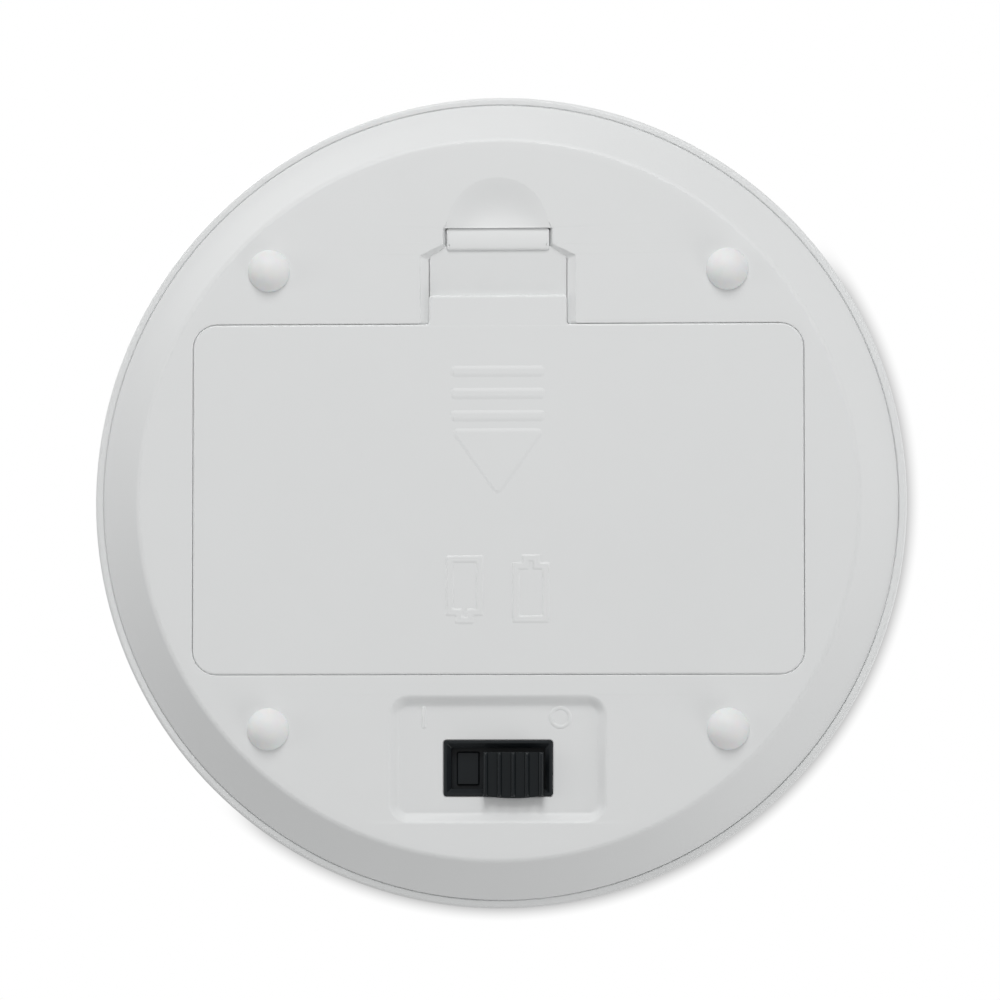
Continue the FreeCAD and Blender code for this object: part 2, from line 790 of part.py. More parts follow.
def dry_cells():
    """Two AA cells that lie head to tail: steel cans with a nub, and their sleeves."""
    cans, sleeves = [], []
    bare = "cell_radius - sleeve_thick"
    for i, side in enumerate(SIDES):
        body = lathe(
            f"can_{i}",
            [
                ("0", "0"),
                ("2.6", "0"),
                ("2.9", "0.25"),
                ("5.9", "0.25"),
                (f"{bare} - 0.3", "0"),
                (bare, "0.3"),
                (bare, "cell_length - 0.6"), (f"{bare} - 0.6", "cell_length"), ("4.1", "cell_length"),
                ("3.8", "cell_length - 0.3"), ("nub_radius", "cell_length - 0.3"),
                ("nub_radius", "cell_length + nub_length - 0.25"),
                ("nub_radius - 0.25", "cell_length + nub_length"), ("0", "cell_length + nub_length"),
            ],
        )
        end = f"{BAY_END} - plate_thick - dimple_height - nub_length - cell_length"
        start = f"-({end})" if side == "-" else end
        turn = Rotation(Vector(0, 1, 0), -90) if side == "-" else X_TURN
        cans.append(placed(body, start, f"{side}cell_place", CELL_AXIS, turn))
        flip = "-" if side == "-" else ""
        outer = rod(f"sleeve_outer_{i}", "cell_radius", (
            f"{flip}({end} + 0.3)",
            f"{side}cell_place",
            CELL_AXIS,
        ),
                    "cell_length - 1.1", turn)
        inner = rod(f"sleeve_inner_{i}", bare, (f"{flip}({end} - 1)", f"{side}cell_place", CELL_AXIS),
                    "cell_length + 3", turn)
        sleeves.append(cut(f"sleeve_{i}", outer, inner))
    node(group("cans_group", *cans), "battery_cells")
    node(group("sleeves_group", *sleeves), "battery_sleeves")


def contact_plate(name, y, end, tag_y=None):
    """A spring-steel plate on an end wall of the bay, with an optional solder tag through the roof."""
    x = (f"{BAY_END} - plate_thick", BAY_END) if end == "" else (
        f"-({BAY_END})",
        f"-({BAY_END} - plate_thick)",
    )
    plate = rounded(
        f"{name}_plate",
        box(f"{name}_sheet", x, y, ("plate_low", "plate_high")),
        "0.8",
        along_x_edge,
    )
    if tag_y is None:
        return plate
    tag = box(f"{name}_tag", x, (f"{tag_y} - tag_half", f"{tag_y} + tag_half"), ("plate_high - 1", "tag_top"))
    return fuse(f"{name}_tagged", plate, tag)


def along_x_edge(edge):
    """True for a straight edge along X."""
    return len(edge.Vertexes) == 2 and abs(edge.BoundBox.YLength) < 1e-6 and abs(edge.BoundBox.ZLength) < 1e-6


def dimple(name, y, end):
    """The pressed button that meets a cell's nub."""
    item = add("Part::Cone", name)
    direction = Rotation(Vector(0, 1, 0), -90) if end == "" else X_TURN
    item.Placement = Placement(Vector(), direction)
    start = f"{BAY_END} - plate_thick" if end == "" else f"-({BAY_END} - plate_thick)"
    bind(
        item,
        x=start,
        y=y,
        z=CELL_AXIS,
        Radius1="dimple_radius",
        Radius2="dimple_radius - 0.6",
        Height="dimple_height",
    )
    return item


def contacts():
    """Bridge at the left end, positive and negative plates at the right end, and two coil springs."""
    wide = ("-(cell_place + plate_half)", "cell_place + plate_half")
    bridge = contact_plate("bridge", wide, "-")
    node(fuse("bridge_made", bridge, dimple("bridge_dimple", "-cell_place", "-")), "bridge_contact")
    back = ("cell_place - plate_half", "cell_place + plate_half")
    plus = contact_plate("plus", back, "", "cell_place")
    node(fuse("plus_made", plus, dimple("plus_dimple", "cell_place", "")), "positive_contact")
    front = ("-(cell_place + plate_half)", "-(cell_place - plate_half)")
    node(contact_plate("minus", front, "", "-cell_place"), "negative_contact")
    springs = []
    room = "bay_length - 2 * plate_thick - dimple_height - nub_length - cell_length"
    height = f"{room} - 2 * spring_wire - 0.1"
    for i, (side, turn) in enumerate((("-", Rotation(Vector(0, 1, 0), -90)), ("", X_TURN))):
        helix = add("Part::Helix", f"coil_path_{i}")
        helix.Style = "New style"
        helix.SegmentLength = 0.25
        bind(helix, Radius="spring_wide", Height=height, Pitch=f"({height}) / spring_turns")
        doc.recompute()
        circle = add("Part::Circle", f"coil_section_{i}")
        circle.Placement = Placement(Vector(), Rotation(Vector(1, 0, 0), 90))
        bind(circle, Radius="spring_wire", x="spring_wide")
        coil = add("Part::Sweep", f"coil_{i}")
        coil.Sections = [circle]
        coil.Spine = (helix, [f"Edge{k + 1}" for k in range(len(helix.Shape.Edges))])
        coil.Solid = True
        coil.Frenet = True
        # Each coil stands on its plate and presses on a cell's flat end.
        start = f"{BAY_END} - plate_thick - spring_wire - 0.03"
        x = f"-({start})" if side == "" else start
        y = "cell_place" if side == "" else "-cell_place"
        springs.append(placed(coil, x, y, CELL_AXIS, turn))
    node(group("coils", *springs), "contact_springs")


def slide_switch():
    """Black frame in the window, steel can, insulating board with three pins, knob and wiper."""
    here = "switch_place"
    neck = centred("neck", "window_half", "window_high", (RIM, FLANGE), here)
    flange = centred("flange", "flange_half", "flange_high", (FLANGE, FLANGE_TOP), here)
    well = centred("well", "window_half - rim_width", "window_high - rim_width", ("0", WELL), here)
    flared = add("PartDesign::Body", "well_flare")
    wide, slim = "window_half - 0.15", "window_half - rim_width"
    corners = [
        (f"-({wide})", f"{RIM} - 0.01"),
        (f"-({slim})", f"{RIM} + 0.5"),
        (slim, f"{RIM} + 0.5"),
        (wide, f"{RIM} - 0.01"),
    ]
    profile = outline(
        flared,
        "well_flare_profile",
        "XZ_Plane",
        corners,
        lift=f"-({here} + window_high - rim_width)",
    )
    pad(flared, "well_flare_pad", profile, "2 * (window_high - rim_width)")
    slot = box(
        "stem_slot",
        ("stem_left - switch_travel - 0.15", "stem_right + 0.15"),
        (f"{here} - stem_half - 0.15", f"{here} + stem_half + 0.15"),
        ("0", f"{FLANGE_TOP} + 1"),
    )
    frame = cut("frame_cut", fuse("frame_whole", neck, flange), well, flared, slot)
    plinth = box(
        "plinth", ("-4.1", "-2.0"), (f"{here} - 1.6", f"{here} + 1.6"), (f"{WELL} - 0.25", WELL)
    )
    node(fuse("switch_frame_made", frame, plinth), "switch_frame")

    knob = add("PartDesign::Body", "knob_body")
    pad_low = f"{RIM} - knob_float - knob_thick"
    corners = [("-knob_left", "knob_near"), ("knob_right", "knob_near"), ("knob_right", "knob_far"),
               ("(knob_right - knob_left) / 2 + 1.5", "knob_far + knob_bulge"),
               ("(knob_right - knob_left) / 2 - 1.5", "knob_far + knob_bulge"), ("-knob_left", "knob_far")]
    pad(knob, "knob_pad", outline(knob, "knob_outline", "XY_Plane", corners, lift=pad_low), "knob_thick")
    ridges = []
    pitch = "(knob_left + knob_right - ridge_width) / (ridge_count - 1)"
    for i in range(int(SIZES["ridge_count"])):
        left = f"-knob_left + {i} * ({pitch})"
        ridges.append(box(f"ridge_{i}", (left, f"{left} + ridge_width"), ("knob_near", "knob_far"),
                          (f"{pad_low} - ridge_height", pad_low)))
    stem = box("knob_stem", ("stem_left", "stem_right"), (f"{here} - stem_half", f"{here} + stem_half"),
               (f"{pad_low} + knob_thick", f"{FLANGE_TOP} + 1.8"))
    node(fuse("knob_made", knob, stem, *ridges), "switch_knob")

    can_outer = centred("can_outer", "can_half", "can_high", (FLANGE_TOP, CAN_TOP), here)
    can_inner = centred("can_inner", "can_half - can_thick", "can_high - can_thick",
                        (f"{FLANGE_TOP} + can_thick", f"{CAN_TOP} + 1"), here)
    can_slot = box("can_slot", ("stem_left - switch_travel - 0.2", "stem_right + 0.2"),
                   (f"{here} - stem_half - 0.2", f"{here} + stem_half + 0.2"), (FLOOR, f"{FLANGE_TOP} + 1"))
    node(cut("can_made", can_outer, can_inner, can_slot), "switch_can")

    carriage = box("carriage", ("stem_left - 0.7", "stem_right + 0.7"), (f"{here} - 2.4", f"{here} + 2.4"),
                   (f"{FLANGE_TOP} + 1.8", f"{FLANGE_TOP} + 2.9"))
    node(carriage, "switch_carriage")
    tongues = [
        box(f"tongue_{i}", ("stem_left - 0.4", "stem_right + 0.4"), (
            f"{here} {side} 1.5 - 0.5",
            f"{here} {side} 1.5 + 0.5",
        ),
            (f"{FLANGE_TOP} + 2.9", f"{FLANGE_TOP} + 3.25"))
        for i, side in enumerate(("-", "+"))
    ]
    node(group("wiper_group", *tongues), "switch_wiper")

    board = centred("insulator", "can_half", "can_high", (CAN_TOP, f"{CAN_TOP} + insulator_thick"), here)
    holes, pins = [], []
    for i in range(3):
        x = f"{i - 1} * pin_pitch"
        size = (f"{x} - pin_half", f"{x} + pin_half"), (f"{here} - pin_thick / 2", f"{here} + pin_thick / 2")
        pins.append(box(f"pin_{i}", *size, (f"{CAN_TOP} - 0.6", PIN_TOP)))
        holes.append(box(f"pin_hole_{i}", *size, (f"{CAN_TOP} - 1", f"{CAN_TOP} + 2")))
    node(cut("insulator_made", board, *holes), "switch_insulator")
    node(group("pins_group", *pins), "switch_pins")


def upper_housing():
    """Outer drum that laps over the shell's tongue, and the deck under the platform."""
    bottom = f"{SLOPE_TOP} + seam_gap"
    drum = cone("housing_drum", "housing_radius", "housing_radius - housing_draft", (bottom, "housing_top"))
    low_soft = rounded("housing_low", drum, "0.35", at_level(bottom))
    soft = rounded("housing_soft", low_soft, "rim_round", at_level("housing_top"))
    lap = post("housing_lap", f"{SHELL_RADIUS} + lap_clear", ("0", f"{SHELL_TOP} + 0.2"))
    inside = post("housing_inside", "housing_radius - housing_draft - housing_wall", ("0", DECK))
    display = f"-display_place"
    view = centred("deck_view", "view_half + 0.4", "view_high + 0.4", ("0", "housing_top + 1"), display)
    beam_hole = centred("deck_hole", "cell_hole_half", "cell_hole_high", ("0", "housing_top + 1"))
    tools = [lap, inside, view, beam_hole]
    for i, (sx, sy) in enumerate(CORNERS):
        place = f"{sx}boss_across", f"{sy}boss_along"
        tools.append(post(f"deck_screw_{i}", "pilot_radius + 0.2", ("0", "housing_top + 1"), *place))
        tools.append(post(f"deck_sink_{i}", "2.5", ("housing_top - 0.9", "housing_top + 1"), *place))
    drum_cut = cut("housing_cut", soft, *tools)
    board_bosses = [
        cut(
            f"board_boss_{i}",
            post(
                f"board_boss_post_{i}",
                "board_boss",
                (BOARD_TOP, DECK),
                f"{side}board_screw_x",
                "-board_screw_y",
            ),
            post(f"board_boss_hole_{i}", "small_screw + 0.05", (BOARD_TOP, f"{DECK} - 0.2"),
                 f"{side}board_screw_x", "-board_screw_y"),
        )
        for i, side in enumerate(SIDES)
    ]
    return node(fuse("housing", drum_cut, *board_bosses), "upper_housing")


def countersunk(name, x, y, tip, length, head_up):
    """A countersunk machine screw with a cross recess left to its finish."""
    head = [("0", "0"), ("screw_head", "0"), (
        "screw_radius",
        "screw_head_high",
    ), ("screw_radius", f"{length} - 0.4"),
            ("screw_radius - 0.4", length), ("0", length)]
    body = lathe(name, head)
    turn = Rotation(Vector(1, 0, 0), 180) if head_up else Rotation()
    return placed(body, x, y, tip, turn)


def load_cell():
    """An aluminium beam on a spacer over the bay, thin over two bores, with coated strain gauges."""
    z = (BEAM, BEAM_TOP)
    beam = centred("beam_block", "beam_half", "beam_high", z)
    axis = f"{BEAM} + beam_thick / 2"
    bores = [
        rod(f"beam_bore_{i}", "beam_bore", (f"{side}beam_bore_place", "-10", axis), "20", Y_TURN)
        for i, side in enumerate(SIDES)
    ]
    slot = centred(
        "beam_slot_cut",
        "beam_bore_place",
        "10",
        (f"{axis} - beam_slot / 2", f"{axis} + beam_slot / 2"),
    )
    screw_holes, low_holes, high_holes, low_screws, high_screws = [], [], [], [], []
    for i, place in enumerate(("beam_screw_near", "beam_screw_far")):
        for side in SIDES:
            tag = f"{i}_{'left' if side else 'right'}"
            hole = post(f"beam_thread_{tag}", "screw_radius + screw_clear", ("0", "40"), f"{side}{place}")
            screw_holes.append(hole)
        low_holes.append(post(f"low_hole_{i}", "screw_radius + screw_clear", ("0", "40"), f"-{place}"))
        high_holes.append(post(f"high_hole_{i}", "screw_radius + screw_clear", ("0", "40"), place))
        low_screws.append(countersunk(f"low_screw_{i}", f"-{place}", "0", BAY_TOP, "screw_length", False))
        high_screws.append(
            countersunk(f"high_screw_{i}", place, "0", CARRIER_TOP, "screw_length - 0.6", True)
        )
    node(cut("beam", beam, *bores, slot, *screw_holes), "load_cell")
    low = box(
        "low_block",
        ("-beam_half", "-beam_half + spacer_length"),
        ("-beam_high", "beam_high"),
        (ROOF_TOP, BEAM),
    )
    high = box(
        "high_block",
        ("beam_half - spacer_length", "beam_half"),
        ("-beam_high", "beam_high"),
        (BEAM_TOP, CARRIER),
    )
    node(cut("low_made", low, *low_holes), "lower_spacer")
    node(cut("high_made", high, *high_holes), "upper_spacer")
    node(group("low_screws", *low_screws), "lower_beam_screws")
    node(group("high_screws", *high_screws), "upper_beam_screws")
    coats = [
        rounded_block("coat_top", "coat_half", "coat_high", (BEAM_TOP, f"{BEAM_TOP} + coat_thick"), "1.2"),
        rounded_block("coat_under", "coat_half", "coat_high", (f"{BEAM} - coat_thick", BEAM), "1.2"),
    ]
    node(group("coats", *coats), "gauge_coating")


def platform():
    """Carrier, double-sided tape and the glass disc that things are weighed on."""
    rim = f"{CARRIER} - carrier_skirt"
    inner = "carrier_radius - skirt_thick"
    profile = [("0", CARRIER), (inner, CARRIER), (inner, rim), ("carrier_radius - 0.3", rim),
               ("carrier_radius", f"{rim} + 0.3"), ("carrier_radius", f"{CARRIER_TOP} - 0.3"),
               ("carrier_radius - 0.3", CARRIER_TOP), ("0", CARRIER_TOP)]
    carrier = lathe("carrier_body", profile)
    window_x, window_y = "view_half + window_margin", "view_high + window_margin"
    view = rounded_block("carrier_view", window_x, window_y, ("0", "40"), "1.5", "-display_place")
    holes = []
    for i, place in enumerate(("beam_screw_near", "beam_screw_far")):
        holes.append(post(f"carrier_hole_{i}", "screw_radius + screw_clear", ("0", "40"), place))
        holes.append(cone(f"carrier_sink_{i}", "screw_radius + screw_clear", "screw_head + screw_clear",
                          (f"{CARRIER_TOP} - screw_head_high", CARRIER_TOP), place))
    node(cut("carrier", carrier, view, *holes), "platform_carrier")
    tape = post("tape_disc", "tape_radius", (CARRIER_TOP, GLASS))
    tape_view = rounded_block("tape_view", window_x, window_y, ("0", "40"), "1.5", "-display_place")
    node(cut("tape", tape, tape_view), "mounting_tape")
    top = f"{GLASS} + glass_thick"
    node(
        lathe(
            "glass_body",
            [("0", GLASS), ("glass_radius - 0.25", GLASS), ("glass_radius", f"{GLASS} + 0.25"),
             ("glass_radius", f"{top} - glass_bevel"), ("glass_radius - glass_bevel", top), ("0", top)],
        ),
        "glass_platform",
    )


def display_and_board():
    """Liquid crystal panel in its frame, contact rubber, circuit board and what is soldered to it."""
    middle = "-display_place"
    z = (f"{DECK} - lcd_thick", DECK)
    node(centred("lcd", "panel_half_x", "panel_half_y", z, middle), "lcd_panel")
    room = "panel_half_x + lcd_clear", "panel_half_y + lcd_clear"
    wall = "panel_half_x + lcd_clear + lcd_frame_wall", "panel_half_y + lcd_clear + lcd_frame_wall - 0.2"
    outer = centred("lcd_outer", *wall, (BOARD_TOP, DECK), middle)
    inner = centred("lcd_inner", *room, (f"{BOARD_TOP} - 1", f"{DECK} + 1"), middle)
    node(cut("lcd_frame_made", outer, inner), "lcd_frame")
    near = "-(display_place - panel_half_y + 0.2)"
    rubber = box(
        "rubber",
        ("-rubber_half", "rubber_half"),
        (f"{near} - rubber_wide", near),
        (BOARD_TOP, z[0]),
    )
    node(rubber, "contact_rubber")
    back = box(
        "board_wings",
        ("-board_wing", "board_wing"),
        ("-board_wing_front", "-board_back"),
        (BOARD, BOARD_TOP),
    )
    front = box(
        "board_front_part",
        ("-board_half", "board_half"),
        ("-board_front", "-board_back"),
        (BOARD, BOARD_TOP),
    )
    holes = [
        post(f"board_hole_{i}", "small_screw + 0.15", ("0", "40"), f"{side}board_screw_x", "-board_screw_y")
        for i, side in enumerate(SIDES)
    ]
    node(cut("board", fuse("board_whole", back, front), *holes), "circuit_board")
    screws = []
    for i, side in enumerate(SIDES):
        screw = lathe(
            f"board_screw_{i}",
            [("0", "0"), ("small_head - 0.3", "0"), ("small_head", "0.3"), ("small_head", "small_head_high"),
             ("small_screw", "small_head_high"),
             ("small_screw", "4.8"),
             ("small_screw - 0.4", "5.2"),
             ("0", "5.2")],
        )
        screws.append(placed(screw, f"{side}board_screw_x", "-board_screw_y", f"{BOARD} - small_head_high"))
    node(group("board_screws", *screws), "board_screws")
    ball = "(blob_radius * blob_radius + blob_height * blob_height) / (2 * blob_height)"
    sphere = add("Part::Sphere", "blob_ball")
    bind(sphere, Radius=ball, x="-6", y=middle, z=f"{BOARD} - blob_height + {ball}")
    trim = post("blob_trim", "blob_radius", (f"{BOARD} - blob_height", BOARD), "-6", middle)
    node(common("blob", sphere, trim), "chip_blob")
    parts = []
    for i, x in enumerate(("5.0", "9.5")):
        can = post(f"capacitor_{i}", "1.9", (f"{BOARD} - 4.6", BOARD), x, "-24")
        parts.append(rounded(f"capacitor_soft_{i}", can, "0.4", at_level(f"{BOARD} - 4.6")))
    for i in range(5):
        x = f"3.0 + {i} * 2.2"
        parts.append(box(f"chip_part_{i}", (x, f"{x} + 1.2"), ("-31", "-29"), (f"{BOARD} - 0.6", BOARD)))
    node(group("small_parts", *parts), "board_parts")


def housing_screws():
    """Four self-tapping screws through the deck into the shell's bosses."""
    made = []
    for i, (sx, sy) in enumerate(CORNERS):
        screw = lathe(
            f"housing_screw_{i}",
            [("0", "0"), ("0.3", "0"), (
                "pilot_radius - 0.05",
                "1.2",
            ), ("pilot_radius - 0.05", "8"), ("2.3", "8"),
             ("2.3", "8.6"), ("1.9", "9"), ("0", "9")],
        )
        made.append(placed(screw, f"{sx}boss_across", f"{sy}boss_along", "housing_top - 0.9 - 8"))
    node(group("housing_screw_group", *made), "housing_screws")


def wiring():
    """Leads from the bay to the switch and the board, and four thin ones from the strain gauges."""
    red = [
        (28.3, 7.4, 21.4),
        (25.2, 10.5, 21.9),
        (21.5, 17.6, 21.4),
        (15.0, 22.4, 18.2),
        (8.0, 25.6, 15.6),
        (3.5, 27.6, 14.2),
    ]
    node(lead("red_lead", red, "lead_radius"), "battery_lead_positive")
    black = [
        (28.3, -7.4, 21.4),
        (25.3, -10.0, 22.0),
        (22.6, -14.4, 22.1),
        (19.6, -17.2, 21.7),
        (17.6, -19.4, 21.35),
    ]
    node(lead("black_lead", black, "lead_radius"), "battery_lead_negative")
    link = [
        (0.0, 27.6, 14.2), (-5.0, 26.6, 15.8), (-13.0, 23.4, 18.4), (-20.5, 18.4, 21.4), (-24.6, 10.0, 22.1),
        (-25.2, 0.0, 22.3), (-24.6, -9.6, 22.2), (-22.0, -15.0, 21.9), (-18.4, -19.0, 21.35),
    ]
    node(lead("link_lead", link, "lead_radius"), "switch_lead")
    made = []
    for i in range(4):
        step = number(f"{i} * gauge_lead_pitch")
        route = [
            (-2.4 + step, -4.9, 23.2),
            (-2.4 + step, -8.2, 22.6),
            (-4.4 + step, -12.4, 21.9),
            (-4.8 + step, -16.0, 21.7),
            (-4.8 + step, -18.9, 21.2),
        ]
        made.append(lead(f"gauge_lead_{i}", route, "gauge_lead_radius"))
    node(group("gauge_lead_group", *made), "load_cell_leads")


def check_and_export():
    """Stops if anything failed, then writes one STEP file for each sub-part."""
    doc.recompute()
    for item in doc.Objects:
        wrong = [state for state in item.State if state in ("Invalid", "Error")]
        if wrong:
            raise RuntimeError(f"{item.Label}: {wrong}")
    os.makedirs("parts", exist_ok=True)
    for item in NODES:
        if item.Shape.isNull() or not item.Shape.isValid():
            raise RuntimeError(f"{item.Label}: shape is null or not valid")
        item.Shape.exportStep(f"parts/{item.Label}.step")
        print(f"{item.Label}: {len(item.Shape.Solids)} solids, {item.Shape.Volume:.1f} mm3")


bottom_shell()
feet()
battery_cover()
cover_latch()
dry_cells()
contacts()
slide_switch()
upper_housing()
load_cell()
platform()
display_and_board()
housing_screws()
wiring()
check_and_export()
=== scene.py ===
"""Compact round scale: its visible meshes, finishes, light and camera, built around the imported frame."""
import logging
import math
from collections.abc import Callable, Iterable, Sequence
from dataclasses import dataclass, field
from enum import Enum

import bmesh
import bpy
from mathutils import Matrix, Vector
from mathutils.geometry import tessellate_polygon


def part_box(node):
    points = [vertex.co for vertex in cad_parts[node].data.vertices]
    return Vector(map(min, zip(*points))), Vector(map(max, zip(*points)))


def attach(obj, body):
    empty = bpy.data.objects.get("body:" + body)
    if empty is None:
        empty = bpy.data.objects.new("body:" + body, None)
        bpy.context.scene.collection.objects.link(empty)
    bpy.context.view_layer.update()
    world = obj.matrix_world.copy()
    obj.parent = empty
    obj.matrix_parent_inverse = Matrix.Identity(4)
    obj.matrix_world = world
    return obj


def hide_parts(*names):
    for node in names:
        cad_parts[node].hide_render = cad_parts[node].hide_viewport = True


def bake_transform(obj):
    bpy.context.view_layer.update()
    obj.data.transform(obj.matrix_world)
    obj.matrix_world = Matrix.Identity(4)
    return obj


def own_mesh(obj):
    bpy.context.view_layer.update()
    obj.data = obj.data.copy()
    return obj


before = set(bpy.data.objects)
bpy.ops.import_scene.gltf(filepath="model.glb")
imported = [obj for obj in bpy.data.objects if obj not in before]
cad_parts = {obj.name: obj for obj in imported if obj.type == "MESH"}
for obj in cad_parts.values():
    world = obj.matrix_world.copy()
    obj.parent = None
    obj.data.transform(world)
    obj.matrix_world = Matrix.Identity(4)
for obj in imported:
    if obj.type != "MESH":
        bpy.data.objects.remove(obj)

LOG = logging.getLogger("round_scale")
MM = 0.001
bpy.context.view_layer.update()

Point = tuple[float, float]
Colour = tuple[float, float, float]


# --------------------------------------------------------------------------- node trees


class Tree:
    """A thin writer for shader and geometry node trees."""

    def __init__(self, tree: bpy.types.NodeTree) -> None:
        """Starts from an empty tree."""
        self.tree = tree
        tree.nodes.clear()

    def add(self, kind: str, inputs: dict | None = None, **settings: object) -> bpy.types.Node:
        """Adds a node.

        Args:
            kind: the node's type name.
            inputs: socket name or number to a value or to an output socket that feeds it.
            settings: attributes of the node itself.

        Returns:
            The new node.
        """
        node = self.tree.nodes.new(kind)
        for name, value in settings.items():
            setattr(node, name, value)
        for name, value in (inputs or {}).items():
            socket = node.inputs[name]
            if isinstance(value, bpy.types.NodeSocket):
                self.tree.links.new(value, socket)
            else:
                socket.default_value = value
        return node

    def socket(self, name: str, kind: str, default: object = None, out: bool = False) -> None:
        """Declares a named input or output of a node group."""
        made = self.tree.interface.new_socket(name, in_out="OUTPUT" if out else "INPUT", socket_type=kind)
        if default is not None:
            made.default_value = default


class Groups:
    """Shader node groups that several finishes share, each built once."""

    _made: dict[str, bpy.types.ShaderNodeTree] = {}

    @classmethod
    def get(cls, name: str, build: Callable[[Tree], None]) -> bpy.types.ShaderNodeTree:
        """Returns the named group, building it on first use.

        Args:
            name: the group's name.
            build: a function that fills the empty tree.

        Returns:
            The node group.
        """
        if name not in cls._made:
            group = bpy.data.node_groups.new(name, "ShaderNodeTree")
            build(Tree(group))
            cls._made[name] = group
        return cls._made[name]

    @classmethod
    def moulded(cls) -> bpy.types.ShaderNodeTree:
        """Grain of a spark-eroded mould: colour, roughness and height from object coordinates."""

        def build(t: Tree) -> None:
            """Fine noise for the grain, broad noise for the tone."""
            t.socket("Grain", "NodeSocketFloat", 9000.0)
            t.socket("Dark", "NodeSocketColor", (0.7, 0.7, 0.7, 1))
            t.socket("Light", "NodeSocketColor", (0.8, 0.8, 0.8, 1))
            t.socket("Rough Low", "NodeSocketFloat", 0.4)
            t.socket("Rough High", "NodeSocketFloat", 0.6)
            for name, kind in (("Color", "Color"), ("Roughness", "Float"), ("Height", "Float")):
                t.socket(name, f"NodeSocket{kind}", out=True)
            given = t.add("NodeGroupInput").outputs
            place = t.add("ShaderNodeTexCoord").outputs["Object"]
            fine = t.add("ShaderNodeTexNoise", {"Vector": place, "Scale": given["Grain"], "Detail": 3.0})
            broad = t.add("ShaderNodeTexNoise", {"Vector": place, "Scale": 45.0, "Detail": 2.0})
            flow = t.add(
                "ShaderNodeTexNoise", {"Vector": place, "Scale": 260.0, "Detail": 4.0, "Distortion": 0.6},
            )
            blend = t.add(
                "ShaderNodeMath", {0: broad.outputs["Fac"], 1: flow.outputs["Fac"]}, operation="ADD",
            )
            half = t.add("ShaderNodeMath", {0: blend.outputs[0], 1: 0.5}, operation="MULTIPLY")
            tone = t.add(
                "ShaderNodeMix",
                {0: half.outputs[0], 6: given["Dark"], 7: given["Light"]},
                data_type="RGBA",
            )
            gloss = t.add(
                "ShaderNodeMapRange",
                {"Value": fine.outputs["Fac"], 3: given["Rough Low"], 4: given["Rough High"]},
            )
            out = t.add("NodeGroupOutput")
            t.tree.links.new(tone.outputs[2], out.inputs["Color"])
            t.tree.links.new(gloss.outputs[0], out.inputs["Roughness"])
            t.tree.links.new(fine.outputs["Fac"], out.inputs["Height"])

        return cls.get("moulded_grain", build)

    @classmethod
    def drawn(cls) -> bpy.types.ShaderNodeTree:
        """Lines of drawn or milled metal along one axis: colour, roughness and height."""

        def build(t: Tree) -> None:
            """Noise drawn out along one axis, and a broad stain."""
            t.socket("Stretch", "NodeSocketVector", (1.0, 40.0, 40.0))
            t.socket("Scale", "NodeSocketFloat", 300.0)
            t.socket("Dark", "NodeSocketColor", (0.5, 0.5, 0.5, 1))
            t.socket("Light", "NodeSocketColor", (0.7, 0.7, 0.7, 1))
            t.socket("Rough Low", "NodeSocketFloat", 0.2)
            t.socket("Rough High", "NodeSocketFloat", 0.4)
            for name, kind in (("Color", "Color"), ("Roughness", "Float"), ("Height", "Float")):
                t.socket(name, f"NodeSocket{kind}", out=True)
            given = t.add("NodeGroupInput").outputs
            place = t.add("ShaderNodeTexCoord").outputs["Object"]
            along = t.add("ShaderNodeMapping", {"Vector": place, "Scale": given["Stretch"]})
            lines = t.add(
                "ShaderNodeTexNoise", {"Vector": along.outputs[0], "Scale": given["Scale"], "Detail": 2.0},
            )
            stain = t.add("ShaderNodeTexNoise", {"Vector": place, "Scale": 180.0, "Detail": 3.0})
            tone = t.add(
                "ShaderNodeMix",
                {0: stain.outputs["Fac"], 6: given["Dark"], 7: given["Light"]}, data_type="RGBA",
            )
            gloss = t.add(
                "ShaderNodeMapRange",
                {"Value": lines.outputs["Fac"], 3: given["Rough Low"], 4: given["Rough High"]},
            )
            out = t.add("NodeGroupOutput")
            t.tree.links.new(tone.outputs[2], out.inputs["Color"])
            t.tree.links.new(gloss.outputs[0], out.inputs["Roughness"])
            t.tree.links.new(lines.outputs["Fac"], out.inputs["Height"])

        return cls.get("drawn_lines", build)


# --------------------------------------------------------------------------- finishes


# Every material made so far, by its finish.
MADE: dict["Finish", bpy.types.Material] = {}


@dataclass(frozen=True)
class Finish:
    """A finish that becomes one material; each kind writes its own nodes."""

    name: str
    slot: str

    def material(self) -> bpy.types.Material:
        """Returns the material, building it on first use."""
        if self in MADE:
            return MADE[self]
        made = MADE[self] = bpy.data.materials.new(self.name)
        made.use_nodes = True
        tree = Tree(made.node_tree)
        shader = tree.add("ShaderNodeBsdfPrincipled")
        out = tree.add("ShaderNodeOutputMaterial")
        made.node_tree.links.new(shader.outputs["BSDF"], out.inputs["Surface"])
        self.dress(tree, shader)
        return made

    def dress(self, tree: Tree, shader: bpy.types.Node) -> None:
        """Sets the shader's sockets; each kind of finish overrides it."""

    def bump(self, tree: Tree, shader: bpy.types.Node, height: bpy.types.NodeSocket, depth: float) -> None:
        """Feeds the normal from a height.

        Args:
            tree: the material's tree.
            shader: its Principled shader.
            height: a socket from 0 to 1.
            depth: the relief in millimetres.
        """
        made = tree.add("ShaderNodeBump", {"Height": height, "Strength": 1.0, "Distance": depth * MM})
        tree.tree.links.new(made.outputs["Normal"], shader.inputs["Normal"])


def opaque(colour: Colour) -> tuple[float, float, float, float]:
    """The colour with full alpha."""
    return (*colour, 1.0)


